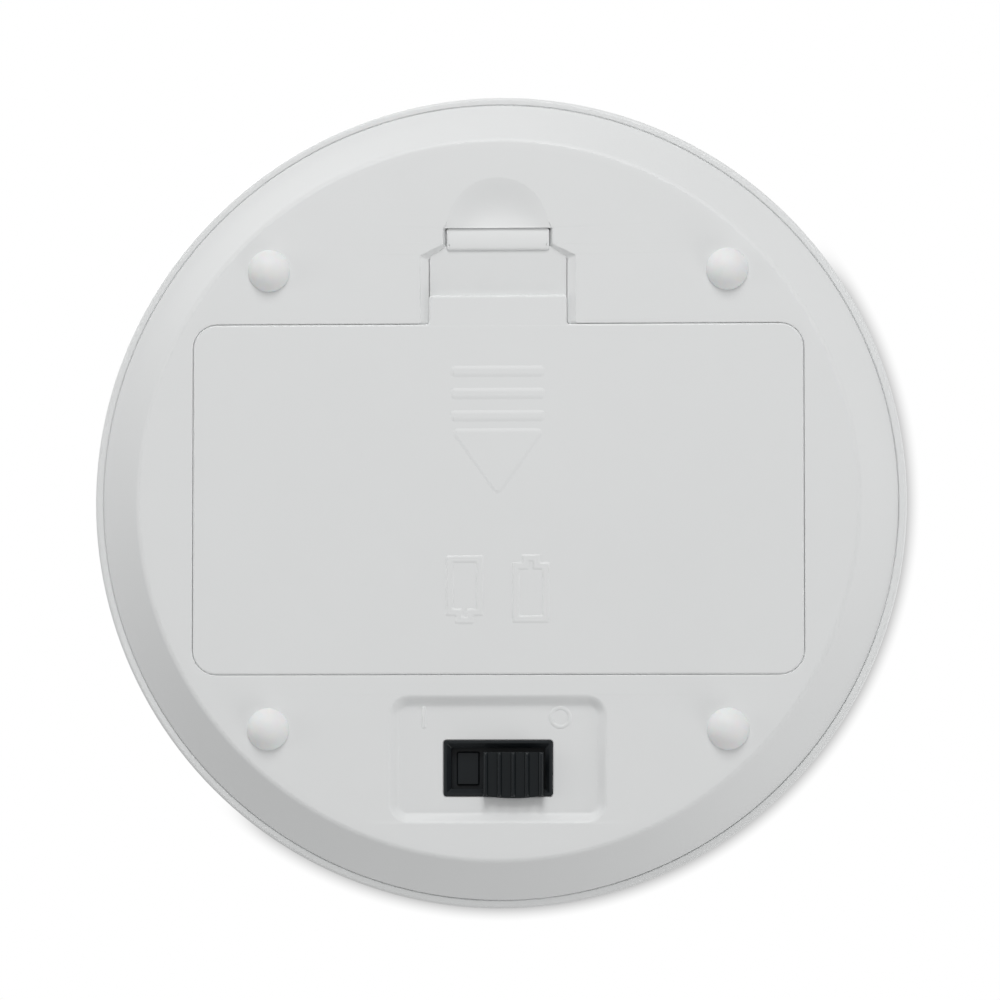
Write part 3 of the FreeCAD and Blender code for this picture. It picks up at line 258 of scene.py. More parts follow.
@dataclass(frozen=True)
class Moulded(Finish):
    """Moulded plastic, silicone or rubber with a fine grain."""

    dark: Colour = (0.78, 0.79, 0.79)
    light: Colour = (0.81, 0.82, 0.82)
    rough: tuple[float, float] = (0.42, 0.56)
    grain: float = 7000.0
    relief: float = 0.002
    glow: float = 0.0
    coat: float = 0.0
    shine: float = 0.5

    def dress(self, tree: Tree, shader: bpy.types.Node) -> None:
        """Grain drives colour, roughness and height."""
        group = tree.add("ShaderNodeGroup", node_tree=Groups.moulded())
        group.inputs["Grain"].default_value = self.grain
        group.inputs["Dark"].default_value = opaque(self.dark)
        group.inputs["Light"].default_value = opaque(self.light)
        group.inputs["Rough Low"].default_value = self.rough[0]
        group.inputs["Rough High"].default_value = self.rough[1]
        links = tree.tree.links
        links.new(group.outputs["Color"], shader.inputs["Base Color"])
        links.new(group.outputs["Roughness"], shader.inputs["Roughness"])
        shader.inputs["Subsurface Weight"].default_value = self.glow
        shader.inputs["Subsurface Scale"].default_value = 0.8 * MM
        shader.inputs["Coat Weight"].default_value = self.coat
        shader.inputs["Specular IOR Level"].default_value = self.shine
        shader.inputs["Coat Roughness"].default_value = 0.12
        self.bump(tree, shader, group.outputs["Height"], self.relief)


@dataclass(frozen=True)
class Metal(Finish):
    """Drawn, rolled or milled metal with fine lines along one axis."""

    dark: Colour = (0.52, 0.52, 0.53)
    light: Colour = (0.70, 0.70, 0.71)
    rough: tuple[float, float] = (0.22, 0.38)
    stretch: tuple[float, float, float] = (1.0, 40.0, 40.0)
    relief: float = 0.002

    def dress(self, tree: Tree, shader: bpy.types.Node) -> None:
        """Lines drive colour, roughness and height."""
        group = tree.add("ShaderNodeGroup", node_tree=Groups.drawn())
        group.inputs["Stretch"].default_value = self.stretch
        group.inputs["Dark"].default_value = opaque(self.dark)
        group.inputs["Light"].default_value = opaque(self.light)
        group.inputs["Rough Low"].default_value = self.rough[0]
        group.inputs["Rough High"].default_value = self.rough[1]
        shader.inputs["Metallic"].default_value = 1.0
        links = tree.tree.links
        links.new(group.outputs["Color"], shader.inputs["Base Color"])
        links.new(group.outputs["Roughness"], shader.inputs["Roughness"])
        self.bump(tree, shader, group.outputs["Height"], self.relief)


@dataclass(frozen=True)
class Glass(Finish):
    """Clear float glass with faint smears."""

    tint: Colour = (0.93, 0.985, 0.965)

    def dress(self, tree: Tree, shader: bpy.types.Node) -> None:
        """Smears change only the roughness."""
        place = tree.add("ShaderNodeTexCoord").outputs["Object"]
        smear = tree.add(
            "ShaderNodeTexNoise", {"Vector": place, "Scale": 55.0, "Detail": 4.0, "Distortion": 1.2},
        )
        gloss = tree.add(
            "ShaderNodeMapRange", {"Value": smear.outputs["Fac"], 1: 0.45, 2: 0.8, 3: 0.0, 4: 0.09},
        )
        tree.tree.links.new(gloss.outputs[0], shader.inputs["Roughness"])
        shader.inputs["Base Color"].default_value = opaque(self.tint)
        shader.inputs["Transmission Weight"].default_value = 1.0
        shader.inputs["IOR"].default_value = 1.5


@dataclass(frozen=True)
class Sleeve(Finish):
    """Shrink sleeve of a dry cell: a dark body and a lighter band at one end, glossy."""

    body: Colour = (0.035, 0.06, 0.11)
    band: Colour = (0.62, 0.36, 0.06)
    edge: float = 0.0

    def dress(self, tree: Tree, shader: bpy.types.Node) -> None:
        """A step along X parts the two colours, with a thin pale line between them."""
        place = tree.add("ShaderNodeTexCoord").outputs["Object"]
        axes = tree.add("ShaderNodeSeparateXYZ", {0: place})
        side = tree.add("ShaderNodeMath", {0: axes.outputs["Y"], 1: 0.0}, operation="GREATER_THAN")
        sign = tree.add("ShaderNodeMapRange", {"Value": side.outputs[0], 3: -1.0, 4: 1.0})
        along = tree.add("ShaderNodeMath", {0: axes.outputs["X"], 1: sign.outputs[0]}, operation="MULTIPLY")
        band = tree.add(
            "ShaderNodeMath", {0: along.outputs[0], 1: self.edge * MM}, operation="GREATER_THAN",
        )
        line = tree.add(
            "ShaderNodeMath", {0: along.outputs[0], 1: self.edge * MM, 2: 0.35 * MM}, operation="COMPARE"
        )
        fleck = tree.add("ShaderNodeTexNoise", {"Vector": place, "Scale": 900.0, "Detail": 2.0})
        coat = tree.add(
            "ShaderNodeMix",
            {0: band.outputs[0], 6: opaque(self.body), 7: opaque(self.band)},
            data_type="RGBA",
        )
        inked = tree.add(
            "ShaderNodeMix",
            {0: line.outputs[0], 6: coat.outputs[2], 7: (0.75, 0.75, 0.72, 1)},
            data_type="RGBA",
        )
        gloss = tree.add("ShaderNodeMapRange", {"Value": fleck.outputs["Fac"], 3: 0.16, 4: 0.3})
        tree.tree.links.new(inked.outputs[2], shader.inputs["Base Color"])
        tree.tree.links.new(gloss.outputs[0], shader.inputs["Roughness"])
        self.bump(tree, shader, fleck.outputs["Fac"], 0.004)


@dataclass(frozen=True)
class Board(Finish):
    """Green solder mask over copper tracks."""

    mask: Colour = (0.012, 0.11, 0.045)
    track: Colour = (0.03, 0.19, 0.07)

    def dress(self, tree: Tree, shader: bpy.types.Node) -> None:
        """Tracks are the raised lines of a stepped cell pattern."""
        place = tree.add("ShaderNodeTexCoord").outputs["Object"]
        cells = tree.add(
            "ShaderNodeTexVoronoi", {"Vector": place, "Scale": 420.0, "Randomness": 0.55},
            feature="DISTANCE_TO_EDGE", distance="CHEBYCHEV",
        )
        lines = tree.add(
            "ShaderNodeMapRange", {"Value": cells.outputs["Distance"], 1: 0.05, 2: 0.09, 3: 1.0, 4: 0.0},
        )
        tone = tree.add(
            "ShaderNodeMix",
            {0: lines.outputs[0], 6: opaque(self.mask), 7: opaque(self.track)},
            data_type="RGBA",
        )
        tree.tree.links.new(tone.outputs[2], shader.inputs["Base Color"])
        gloss = tree.add("ShaderNodeMapRange", {"Value": lines.outputs[0], 3: 0.28, 4: 0.4})
        tree.tree.links.new(gloss.outputs[0], shader.inputs["Roughness"])
        self.bump(tree, shader, lines.outputs[0], 0.03)


class Finishes(Enum):
    """Every finish on the object."""

    SHELL = Moulded("shell_white_matt", "shell_white", relief=0.0016)
    SILICONE = Moulded(
        "foot_silicone", "silicone_white", (0.82, 0.825, 0.825), (0.85, 0.855, 0.855), (0.5, 0.62), 5000.0,
        0.001, 0.15
    )
    SWITCH = Moulded(
        "switch_satin_black", "switch_black", (0.0055, 0.0078, 0.0092), (0.0095, 0.0128, 0.0148),
        (0.3, 0.44), 6000.0, shine=0.3
    )
    # The switch's black made lighter for the frame: painted light that lifts the shade in its well.
    SOCKET = Moulded(
        "switch_black_painted_lighter", "switch_black", (0.009, 0.0115, 0.0135), (0.0145, 0.018, 0.0205),
        (0.3, 0.44), 6000.0, shine=0.3
    )
    COATING = Moulded(
        "gauge_silicone", "coating_white", (0.8, 0.8, 0.76), (0.87, 0.87, 0.84), (0.3, 0.5), 900.0, 0.02,
    )
    TAPE = Moulded(
        "foam_tape_white", "tape_white", (0.86, 0.87, 0.87), (0.9, 0.9, 0.9), (0.6, 0.8), 2500.0, 0.01,
    )
    FRAME = Moulded(
        "frame_matt_black", "frame_black", (0.02, 0.02, 0.02), (0.035, 0.035, 0.035), (0.4, 0.55),
    )
    RUBBER = Moulded(
        "contact_rubber", "rubber_grey", (0.10, 0.10, 0.11), (0.2, 0.2, 0.2), (0.6, 0.8), 1500.0, 0.01,
    )
    PHENOLIC = Moulded(
        "phenolic_board", "phenolic_brown", (0.22, 0.12, 0.05), (0.33, 0.19, 0.09), (0.35, 0.5), 1200.0,
    )
    EPOXY = Moulded(
        "chip_epoxy", "epoxy_black", (0.01, 0.01, 0.01), (0.02, 0.02, 0.02), (0.12, 0.25), 400.0, 0.01,
    )
    PARTS = Moulded(
        "part_sleeves", "part_dark", (0.02, 0.025, 0.05), (0.05, 0.06, 0.1), (0.2, 0.35), 800.0, 0.003,
    )
    RED = Moulded("wire_red", "lead_red", (0.5, 0.01, 0.01), (0.6, 0.03, 0.02), (0.3, 0.45), 1500.0, 0.003)
    BLACK = Moulded(
        "wire_black", "lead_black", (0.015, 0.015, 0.015), (0.03, 0.03, 0.03), (0.3, 0.45), 1500.0, 0.003,
    )
    YELLOW = Moulded(
        "wire_yellow", "lead_yellow", (0.66, 0.45, 0.03), (0.78, 0.55, 0.06), (0.3, 0.45), 1500.0, 0.003,
    )
    BLUE = Moulded(
        "wire_blue", "lead_blue", (0.03, 0.08, 0.4), (0.05, 0.13, 0.5), (0.3, 0.45), 1500.0, 0.003,
    )
    DISPLAY = Moulded(
        "display_film", "display_grey", (0.36, 0.40, 0.36), (0.40, 0.44, 0.40), (0.2, 0.26), 3000.0, 0.0004,
        0.0, 0.6
    )
    GHOST = Moulded(
        "display_ghost",
        "display_grey",
        (0.30, 0.34, 0.30),
        (0.33, 0.37, 0.33),
        (0.2, 0.26),
        3000.0,
        0.0004,
    )
    CAN = Metal(
        "cell_can", "cell_steel", (0.55, 0.55, 0.55), (0.72, 0.72, 0.71), (0.16, 0.3), (1.0, 20.0, 20.0),
    )
    NICKEL = Metal("contact_nickel", "nickel_plate", (0.62, 0.60, 0.56), (0.78, 0.77, 0.73), (0.14, 0.28))
    TIN = Metal("switch_can_tin", "can_steel", (0.5, 0.5, 0.49), (0.66, 0.66, 0.64), (0.25, 0.42))
    BRASS = Metal("pin_brass", "brass_pin", (0.60, 0.47, 0.22), (0.76, 0.62, 0.34), (0.2, 0.35))
    BEAM = Metal(
        "beam_milled",
        "beam_aluminium",
        (0.66, 0.67, 0.69),
        (0.8, 0.81, 0.82),
        (0.25, 0.42),
        (1.0, 60.0, 60.0),
    )
    SCREW = Metal(
        "screw_zinc", "screw_steel", (0.5, 0.5, 0.5), (0.66, 0.66, 0.67), (0.2, 0.36), (20.0, 20.0, 1.0),
    )
    SLEEVE = Sleeve("cell_print", "cell_sleeve", edge=12.0)
    BOARD = Board("board_mask", "board_green")
    GLASS = Glass("platform_glass", "clear_glass")


# --------------------------------------------------------------------------- shapes


def rounded(corners: Sequence[tuple[float, float, float]], steps: int = 8) -> list[Point]:
    """An outline whose corners are rounded.

    Args:
        corners: x, y and radius of each corner, in millimetres.
        steps: pieces of each arc.

    Returns:
        The outline's points, in the order of the corners.
    """
    points: list[Point] = []
    count = len(corners)
    for i, (x, y, radius) in enumerate(corners):
        here = Vector((x, y))
        back = (Vector(corners[i - 1][:2]) - here).normalized()
        onward = (Vector(corners[(i + 1) % count][:2]) - here).normalized()
        half = back.angle(onward) / 2
        start = here + back * (radius / math.tan(half))
        end = here + onward * (radius / math.tan(half))
        centre = here + (back + onward).normalized() * (radius / math.sin(half))
        arm, last = start - centre, end - centre
        sweep = arm.angle_signed(last)
        for k in range(steps + 1):
            turn = Matrix.Rotation(-sweep * k / steps, 2)
            points.append(tuple(centre + turn @ arm))
    return points


def oblong(half_x: float, half_y: float, radius: float, y: float = 0.0, x: float = 0.0) -> list[Point]:
    """A rounded rectangle, anticlockwise."""
    return rounded(
        [(x + sx * half_x, y + sy * half_y, radius) for sx, sy in ((-1, -1), (1, -1), (1, 1), (-1, 1))]
    )


def circle(radius: float, count: int, x: float = 0.0, y: float = 0.0) -> list[Point]:
    """A circle, anticlockwise."""
    step = 2 * math.pi / count
    return [(x + radius * math.cos(i * step), y + radius * math.sin(i * step)) for i in range(count)]


def inset(points: Sequence[Point], distance: float) -> list[Point]:
    """Moves an anticlockwise outline inwards; a negative distance moves it outwards."""
    moved: list[Point] = []
    count = len(points)
    for i, (x, y) in enumerate(points):
        before = (Vector((x, y)) - Vector(points[i - 1])).normalized()
        after = (Vector(points[(i + 1) % count]) - Vector((x, y))).normalized()
        one, two = Vector((-before.y, before.x)), Vector((-after.y, after.x))
        middle = (one + two).normalized()
        length = distance / max(middle.dot(one), 0.35)
        moved.append((x + middle.x * length, y + middle.y * length))
    return moved


def quarter(start: Point, end: Point, steps: int = 4) -> list[Point]:
    """A quarter ellipse that leaves its start along the first axis and meets its end along the second."""
    made = []
    for k in range(1, steps + 1):
        turn = math.pi / 2 * k / steps
        made.append(
            (
                start[0] + (end[0] - start[0]) * math.sin(turn),
                start[1] + (end[1] - start[1]) * (1 - math.cos(turn)),
            )
        )
    return made


def easing(width: float, depth: float, steps: int = 8) -> list[Point]:
    """Inset and depth pairs of a soft S-shaped wall."""
    share = [k / steps for k in range(1, steps + 1)]
    return [(width * t, depth * t * t * (3 - 2 * t)) for t in share]


class Skin:
    """Collects loops of vertices, in millimetres, and joins them into closed surfaces."""

    def __init__(self) -> None:
        """Starts with an empty mesh."""
        self.mesh = bmesh.new()

    def loop(self, outline: Iterable[Point], z: float) -> list[bmesh.types.BMVert]:
        """Adds a level loop of vertices."""
        return [self.mesh.verts.new((x * MM, y * MM, z * MM)) for x, y in outline]

    def points(self, places: Iterable[Sequence[float]]) -> list[bmesh.types.BMVert]:
        """Adds vertices anywhere."""
        return [self.mesh.verts.new(Vector(place) * MM) for place in places]

    def band(self, one: Sequence, two: Sequence, closed: bool = True) -> None:
        """Joins two loops of the same length with quads."""
        count = len(one)
        for i in range(count if closed else count - 1):
            k = (i + 1) % count
            self.mesh.faces.new((one[i], one[k], two[k], two[i]))

    def sheet(self, outer: Sequence, *holes: Sequence) -> None:
        """Fills a flat region inside one loop and outside others."""
        flat = [vert for ring in (outer, *holes) for vert in ring]
        for a, b, c in tessellate_polygon([[vert.co for vert in ring] for ring in (outer, *holes)]):
            self.mesh.faces.new((flat[a], flat[b], flat[c]))

    def wall(self, outline: Sequence[Point], steps: Iterable[Point], start: Sequence | None = None) -> list:
        """Stacks loops of one outline.

        Args:
            outline: the outline at inset 0.
            steps: inset and level of each loop.
            start: a loop to join the first one to.

        Returns:
            The last loop.
        """
        last = start
        for distance, z in steps:
            ring = self.loop(inset(outline, distance) if distance else outline, z)
            if last is not None:
                self.band(last, ring)
            last = ring
        return last

    def block(self, outline: Sequence[Point], low: float, high: float, soft: float = 0.15) -> None:
        """A closed upright prism whose lower edge is rounded.

        Args:
            outline: its outline, anticlockwise.
            low: its lower level.
            high: its upper level.
            soft: the radius of the lower edge.
        """
        steps = [(soft, low)]
        steps += [(soft - a, low + b) for a, b in quarter((0, 0), (soft, soft))]
        steps.append((0.0, high))
        first = self.loop(inset(outline, steps[0][0]), steps[0][1])
        last = self.wall(outline, steps[1:], first)
        self.sheet(first)
        self.sheet(last)

    def turned(self, profile: Sequence[Point], count: int = 160, x: float = 0.0, y: float = 0.0) -> None:
        """A closed surface of revolution about an upright axis.

        Args:
            profile: radius and level pairs that start and end on the axis.
            count: sides of each ring.
            x: place of the axis.
            y: place of the axis.
        """
        rings: list[list] = []
        for radius, z in profile:
            if radius < 1e-6:
                rings.append(self.points([(x, y, z)]))
            else:
                rings.append(self.loop(circle(radius, count, x, y), z))
        for one, two in zip(rings, rings[1:]):
            if len(one) == 1:
                for i in range(count):
                    self.mesh.faces.new((one[0], two[i], two[(i + 1) % count]))
            elif len(two) == 1:
                for i in range(count):
                    self.mesh.faces.new((two[0], one[(i + 1) % count], one[i]))
            else:
                self.band(one, two)

    def finish(self, name: str, finish: Finishes, sharp: float = 35.0) -> bpy.types.Object:
        """Turns the collected surface into a shaded object.

        Args:
            name: the piece's name.
            finish: what it is made of.
            sharp: the angle in degrees over which an edge stays crisp.

        Returns:
            The new object.
        """
        bmesh.ops.recalc_face_normals(self.mesh, faces=self.mesh.faces)
        mesh = bpy.data.meshes.new(name)
        self.mesh.to_mesh(mesh)
        self.mesh.free()
        return shaded(name, mesh, finish, sharp)


def shaded(name: str, mesh: bpy.types.Mesh, finish: Finishes, sharp: float = 35.0) -> bpy.types.Object:
    """Links a mesh as an object with its finish, smooth but for its sharp edges."""
    item = bpy.data.objects.new(name, mesh)
    bpy.context.scene.collection.objects.link(item)
    mesh.materials.clear()
    mesh.materials.append(finish.value.material())
    mesh.shade_smooth()
    mesh.set_sharp_from_angle(angle=math.radians(sharp))
    weigh = item.modifiers.new("even_normals", "WEIGHTED_NORMAL")
    weigh.keep_sharp = True
    weigh.weight = 90
    return item


def rides(item: bpy.types.Object, body: str, finish: Finishes, *nodes: str) -> bpy.types.Object:
    """Joins a piece to a body and the nodes that it stands for."""
    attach(item, body)
    if nodes:
        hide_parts(*nodes)
    LOG.info("%s: %d faces on %s", item.name, len(item.data.polygons), body)
    return item


def smooth_copy(node: str, body: str, finish: Finishes) -> bpy.types.Object:
    """A merged, smooth-shaded copy of a CAD node, which it stands for."""
    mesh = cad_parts[node].data.copy()
    work = bmesh.new()
    work.from_mesh(mesh)
    bmesh.ops.remove_doubles(work, verts=work.verts, dist=1e-6)
    work.to_mesh(mesh)
    work.free()
    mesh.name = f"{node}_mesh"
    if mesh.has_custom_normals:
        mesh.normals_split_custom_set([(0, 0, 0)] * len(mesh.loops))
    return rides(shaded(f"{node}_piece", mesh, finish), body, finish, node)


class Grown:
    """Meshes that geometry nodes grow: rows, grids and coils."""

    @staticmethod
    def run(
        name: str, build: Callable[[Tree], bpy.types.NodeSocket], sizes: dict[str, float], finish: Finishes,
    ) -> bpy.types.Mesh:
        """Builds a tree, evaluates it once and returns a plain mesh.

        Args:
            name: the tree's name.
            build: fills the tree and returns the geometry socket.
            sizes: named inputs and their values.
            finish: what Set Material gives the result.

        Returns:
            The mesh.
        """
        tree = bpy.data.node_groups.new(name, "GeometryNodeTree")
        writer = Tree(tree)
        writer.socket("Geometry", "NodeSocketGeometry")
        for key, value in sizes.items():
            kind = "NodeSocketInt" if isinstance(value, int) else "NodeSocketFloat"
            writer.socket(key, kind, value)
        writer.socket("Material", "NodeSocketMaterial")
        writer.socket("Geometry", "NodeSocketGeometry", out=True)
        grown = build(writer)
        given = next(node for node in tree.nodes if node.bl_idname == "NodeGroupInput")
        real = writer.add("GeometryNodeRealizeInstances", {0: grown})
        skin = writer.add(
            "GeometryNodeSetMaterial", {"Geometry": real.outputs[0], "Material": given.outputs["Material"]},
        )
        writer.add("NodeGroupOutput", {0: skin.outputs[0]})
        holder = bpy.data.objects.new(f"{name}_holder", bpy.data.meshes.new(f"{name}_holder"))
        bpy.context.scene.collection.objects.link(holder)
        modifier = holder.modifiers.new("grow", "NODES")
        modifier.node_group = tree
        for socket in tree.interface.items_tree:
            if socket.item_type == "SOCKET" and socket.in_out == "INPUT" and socket.name in sizes:
                modifier[socket.identifier] = sizes[socket.name]
            elif socket.item_type == "SOCKET" and socket.in_out == "INPUT" and socket.name == "Material":
                modifier[socket.identifier] = finish.value.material()
        bpy.context.view_layer.update()
        evaluated = holder.evaluated_get(bpy.context.evaluated_depsgraph_get())
        mesh = bpy.data.meshes.new_from_object(evaluated)
        mesh.name = f"{name}_mesh"
        bpy.data.objects.remove(holder)
        return mesh

    @staticmethod
    def row(
        name: str,
        master: bpy.types.Object,
        axis: str,
        run: tuple[int, float, float],
        finish: Finishes,
    ) -> bpy.types.Mesh:
        """Repeats a piece along one axis and takes the piece away.

        Args:
            name: the tree's name.
            master: the piece that is repeated.
            axis: the axis that the row follows, X or Y.
            run: how many there are, where the first one is and the pitch, in millimetres.
            finish: what Set Material gives the result.

        Returns:
            The mesh of the whole row.
        """

        def build(t: Tree) -> bpy.types.NodeSocket:
            """Instances on the points of a line."""
            given = t.add("NodeGroupInput").outputs
            start = t.add("ShaderNodeCombineXYZ", {axis: given["Start"]})
            step = t.add("ShaderNodeCombineXYZ", {axis: given["Pitch"]})
            line = t.add(
                "GeometryNodeMeshLine",
                {"Count": given["Count"], "Start Location": start.outputs[0], "Offset": step.outputs[0]},
                mode="OFFSET",
            )
            return Grown.instances(t, line, master)

        count, first, pitch = run
        mesh = Grown.run(name, build, {"Count": count, "Start": first * MM, "Pitch": pitch * MM}, finish)
        bpy.data.objects.remove(master)
        return mesh

    @staticmethod
    def instances(t: Tree, points: bpy.types.Node, master: bpy.types.Object) -> bpy.types.NodeSocket:
        """Adds the nodes that put a piece on every point of a mesh."""
        part = t.add("GeometryNodeObjectInfo", {"Object": master, "As Instance": True})
        placed = t.add(
            "GeometryNodeInstanceOnPoints",
            {"Points": points.outputs[0], "Instance": part.outputs["Geometry"]},
        )
        return placed.outputs[0]


# --------------------------------------------------------------------------- sub-assemblies


def low(node: str) -> Vector:
    """Lowest corner of a CAD node, in millimetres."""
    return Vector(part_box(node)[0]) / MM


def high(node: str) -> Vector:
    """Highest corner of a CAD node, in millimetres."""
    return Vector(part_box(node)[1]) / MM


@dataclass
class Latching:
    """Sizes that the shell's slot, the cover's tab and the latch share, in millimetres.

    The bar and its slot have a near edge towards the cover and a far edge towards the scoop.
    """

    tab_half: float = high("cover_latch").x + 0.1
    bar_half: float = 5.15
    bar_near: float = -24.9
    bar_far: float = low("cover_latch").y
    near_corner: float = -24.1
    far_corner: float = -25.2
    clear: float = 0.025
    sink: float = 0.58
    draft: float = 0.8
    scoop_radius: float = 5.05

    @property
    def edge(self) -> float:
        """The line where the finger scoop ends and the latch's opening begins."""
        return self.bar_far - 0.025


@dataclass
class BottomShell:
    """The white lower shell: floor, sloping rim, tongue, bay, slot, finger scoop and switch panel."""

    latching: Latching
    floor: float = low("bottom_shell").z
    radius: float = high("bottom_shell").x
    flat_radius: float = 36.0
    slope_rise: float = 4.0
    tongue_top: float = 10.0
    wall: float = 1.8
    inner_floor: float = 3.6
    block_top: float = 6.3
    roof_top: float = 20.1
    ceiling: float = 18.5
    seat: float = 3.2
    pocket: float = 5.1
    soft: float = 0.12
    door_half: Point = (high("battery_cover").x + 0.03, 17.5 + 0.03)
    door_corner: float = 2.47
    bay_half: Point = (29.2, 15.3)
    panel: tuple[float, float, float, float] = (10.9, 6.4, 2.0, 25.9)
    panel_depth: float = 0.8
    panel_cove: float = 1.1
    window: tuple[float, float, float, float] = (5.45, 2.8, 0.3, 26.8)
    hinge_places: Point = (-16.0, 16.0)
    hinge_mouth: Point = (15.75, 17.6)
    hinge_half: float = 3.3
    hinge_reach: float = 19.4
    hinge_depth: float = 2.3
    pocket_near: float = -16.6
    dish: Point = (0.85, 1.35)
    dish_ramp: tuple[float, float, float] = (0.26, 0.29, 0.045)
    dish_crisp: float = 6.0
    block_half: Point = (32.2, 19.6)
    block_corner: float = 6.5
    nose: Point = (9.0, 29.5)
    bay_wall: float = 1.4
    beam_holes: Point = (-10.8, -15.8)
    beam_hole_radius: float = 2.95
    beam_step: Point = (1.35, 1.4)
    tag_slots: Point = (-7.4, 7.4)
    tag_slot: Point = (0.2, 1.4)
    tag_place: float = 28.95
    boss: Point = (27.6, 21.9)
    boss_radius: float = 2.4
    boss_bore: float = 1.15
    boss_levels: tuple[float, float, float] = (5.2, 24.4, 14.4)
    steps: int = 192

    def opening(self, lean: float) -> list[Point]:
        """The cover's opening and slot, from the scoop's right end round to its left end.

        Args:
            lean: how far the slot's side walls lean out at this level.

        Returns:
            An open run of points, anticlockwise.
        """
        share = self.latching
        x, y = self.door_half
        slot = share.tab_half + share.clear + lean
        slim = share.bar_half + share.clear + 0.35 * lean
        run = [
            (share.scoop_radius, share.edge, 0.02),
            (slim, share.edge + 0.02, 0.1),
            (slim, share.far_corner - 0.3 * lean, 0.3),
            (slot, share.near_corner - 0.3 * lean, 0.3),
            (slot, -y, 0.3),
            (x, -y, self.door_corner),
            (x, y, self.door_corner),
            (-x, y, self.door_corner),
            (-x, -y, self.door_corner),
            (-slot, -y, 0.3),
            (-slot, share.near_corner - 0.3 * lean, 0.3),
            (-slim, share.far_corner - 0.3 * lean, 0.3),
            (-slim, share.edge + 0.02, 0.1),
            (-share.scoop_radius, share.edge, 0.02),
        ]
        return rounded(run, 6)[7:-7]

    def dish_depth(self, x: float, y: float) -> float:
        """Depth of the finger scoop: a bowl or a ramp from the finger bar, whichever is shallower.

        Args:
            x: the place.
            y: the place.

        Returns:
            The depth above the floor's level, in millimetres.
        """
        share = self.latching
        reach = math.hypot(x, y - share.edge) / share.scoop_radius
        bowl = self.dish[0] * max(0.0, 1 - reach * reach) ** self.dish[1]
        along = share.edge - y
        start, slope, bend = self.dish_ramp
        ramp = start + slope * along - bend * along * along
        crisp = self.dish_crisp
        lower = -math.log(math.exp(-crisp * bowl) + math.exp(-crisp * ramp)) / crisp
        return max(0.0, lower + math.log(1 + math.exp(-crisp * ramp)) / crisp)

    def build(self) -> bpy.types.Object:
        """Builds the shell as one closed surface with four screw bosses."""
        skin = Skin()
        share = self.latching
        # Sloping rim and tongue, outside then inside.
        profile = [(self.flat_radius - 1.0, self.floor)]
        slope = math.atan2(self.slope_rise, self.radius - self.flat_radius)
        for k in range(1, 7):
            turn = slope * k / 6
            reach = 1.0 / math.tan((math.pi - slope) / 2)
            profile.append(
                (self.flat_radius - reach + reach / math.tan(slope / 2) * math.sin(turn),
                 self.floor + reach / math.tan(slope / 2) * (1 - math.cos(turn)))
            )
        top = self.floor + self.slope_rise
        profile += [
            (self.radius - 0.14, top - 0.15),
            (self.radius - 0.03, top - 0.02),
            (self.radius + 0.03, top + 0.1),
        ]
        profile += [(self.radius + 0.05, top + 0.14), (self.radius + 0.05, self.tongue_top - 0.2)]
        profile += [(self.radius - 0.2, self.tongue_top)]
        inner = self.radius - self.wall
        profile += [
            (inner, self.tongue_top), (inner, top + 0.4), (self.flat_radius - 0.9, self.inner_floor),
        ]
        rings = [skin.loop(circle(r, self.steps), z) for r, z in profile]
        for one, two in zip(rings, rings[1:]):
            skin.band(one, two)

        # Opening for the cover, with the finger scoop as part of its edge.
        run = self.opening(share.draft)
        arc = [
            (share.scoop_radius * math.cos(a), share.edge - share.scoop_radius * math.sin(a))
            for a in [math.pi - math.pi * k / 24 for k in range(25)]
        ]
        lip = run + arc[1:-1]
        count = len(run)
        first = skin.loop(inset(lip, -self.soft), self.floor)
        last = first
        for a, b in quarter((0, 0), (self.soft, self.soft)):
            ring = skin.loop(inset(lip, -self.soft + a), self.floor + b)
            for vert in ring[count:]:
                vert.co.z = (self.floor + 0.02 * b) * MM
            skin.band(last, ring)
            last = ring
        # The scoop: rings that shrink towards the middle of the latch's edge.
        rim = [last[count - 1], *last[count:], last[0]]
        rings_in = [rim]
        for k in range(1, 12):
            reach = share.scoop_radius * (1 - k / 12)
            row = []
            for i in range(25):
                a = math.pi - math.pi * i / 24
                x, y = reach * math.cos(a), share.edge - reach * math.sin(a)
                row.append((x, y, self.floor + 0.01 + self.dish_depth(x, y)))
            ring = skin.points(row)
            skin.band(rings_in[-1], ring, closed=False)
            rings_in.append(ring)
        centre = skin.points([(0, share.edge, self.floor + 0.01 + self.dish_depth(0, share.edge))])[0]
        for i in range(24):
            skin.mesh.faces.new((rings_in[-1][i], rings_in[-1][i + 1], centre))
        edge_line = [ring[0] for ring in rings_in] + [centre] + [ring[-1] for ring in reversed(rings_in)]

        # Walls of the opening down to the seat.
        upper = last[:count] + [vert for vert in reversed(edge_line)][1:-1]
        lean_low = self.opening(0.0)
        flat_edge = [(vert.co.x / MM, share.edge) for vert in reversed(edge_line)][1:-1]
        middle = skin.loop(lean_low + flat_edge, self.floor + share.sink)
        for vert, above in zip(middle, upper):
            vert.co.z = max(vert.co.z, above.co.z + 0.1 * MM)
        skin.band(upper, middle)
        ledge = skin.loop(lean_low + flat_edge, self.seat)
        skin.band(middle, ledge)

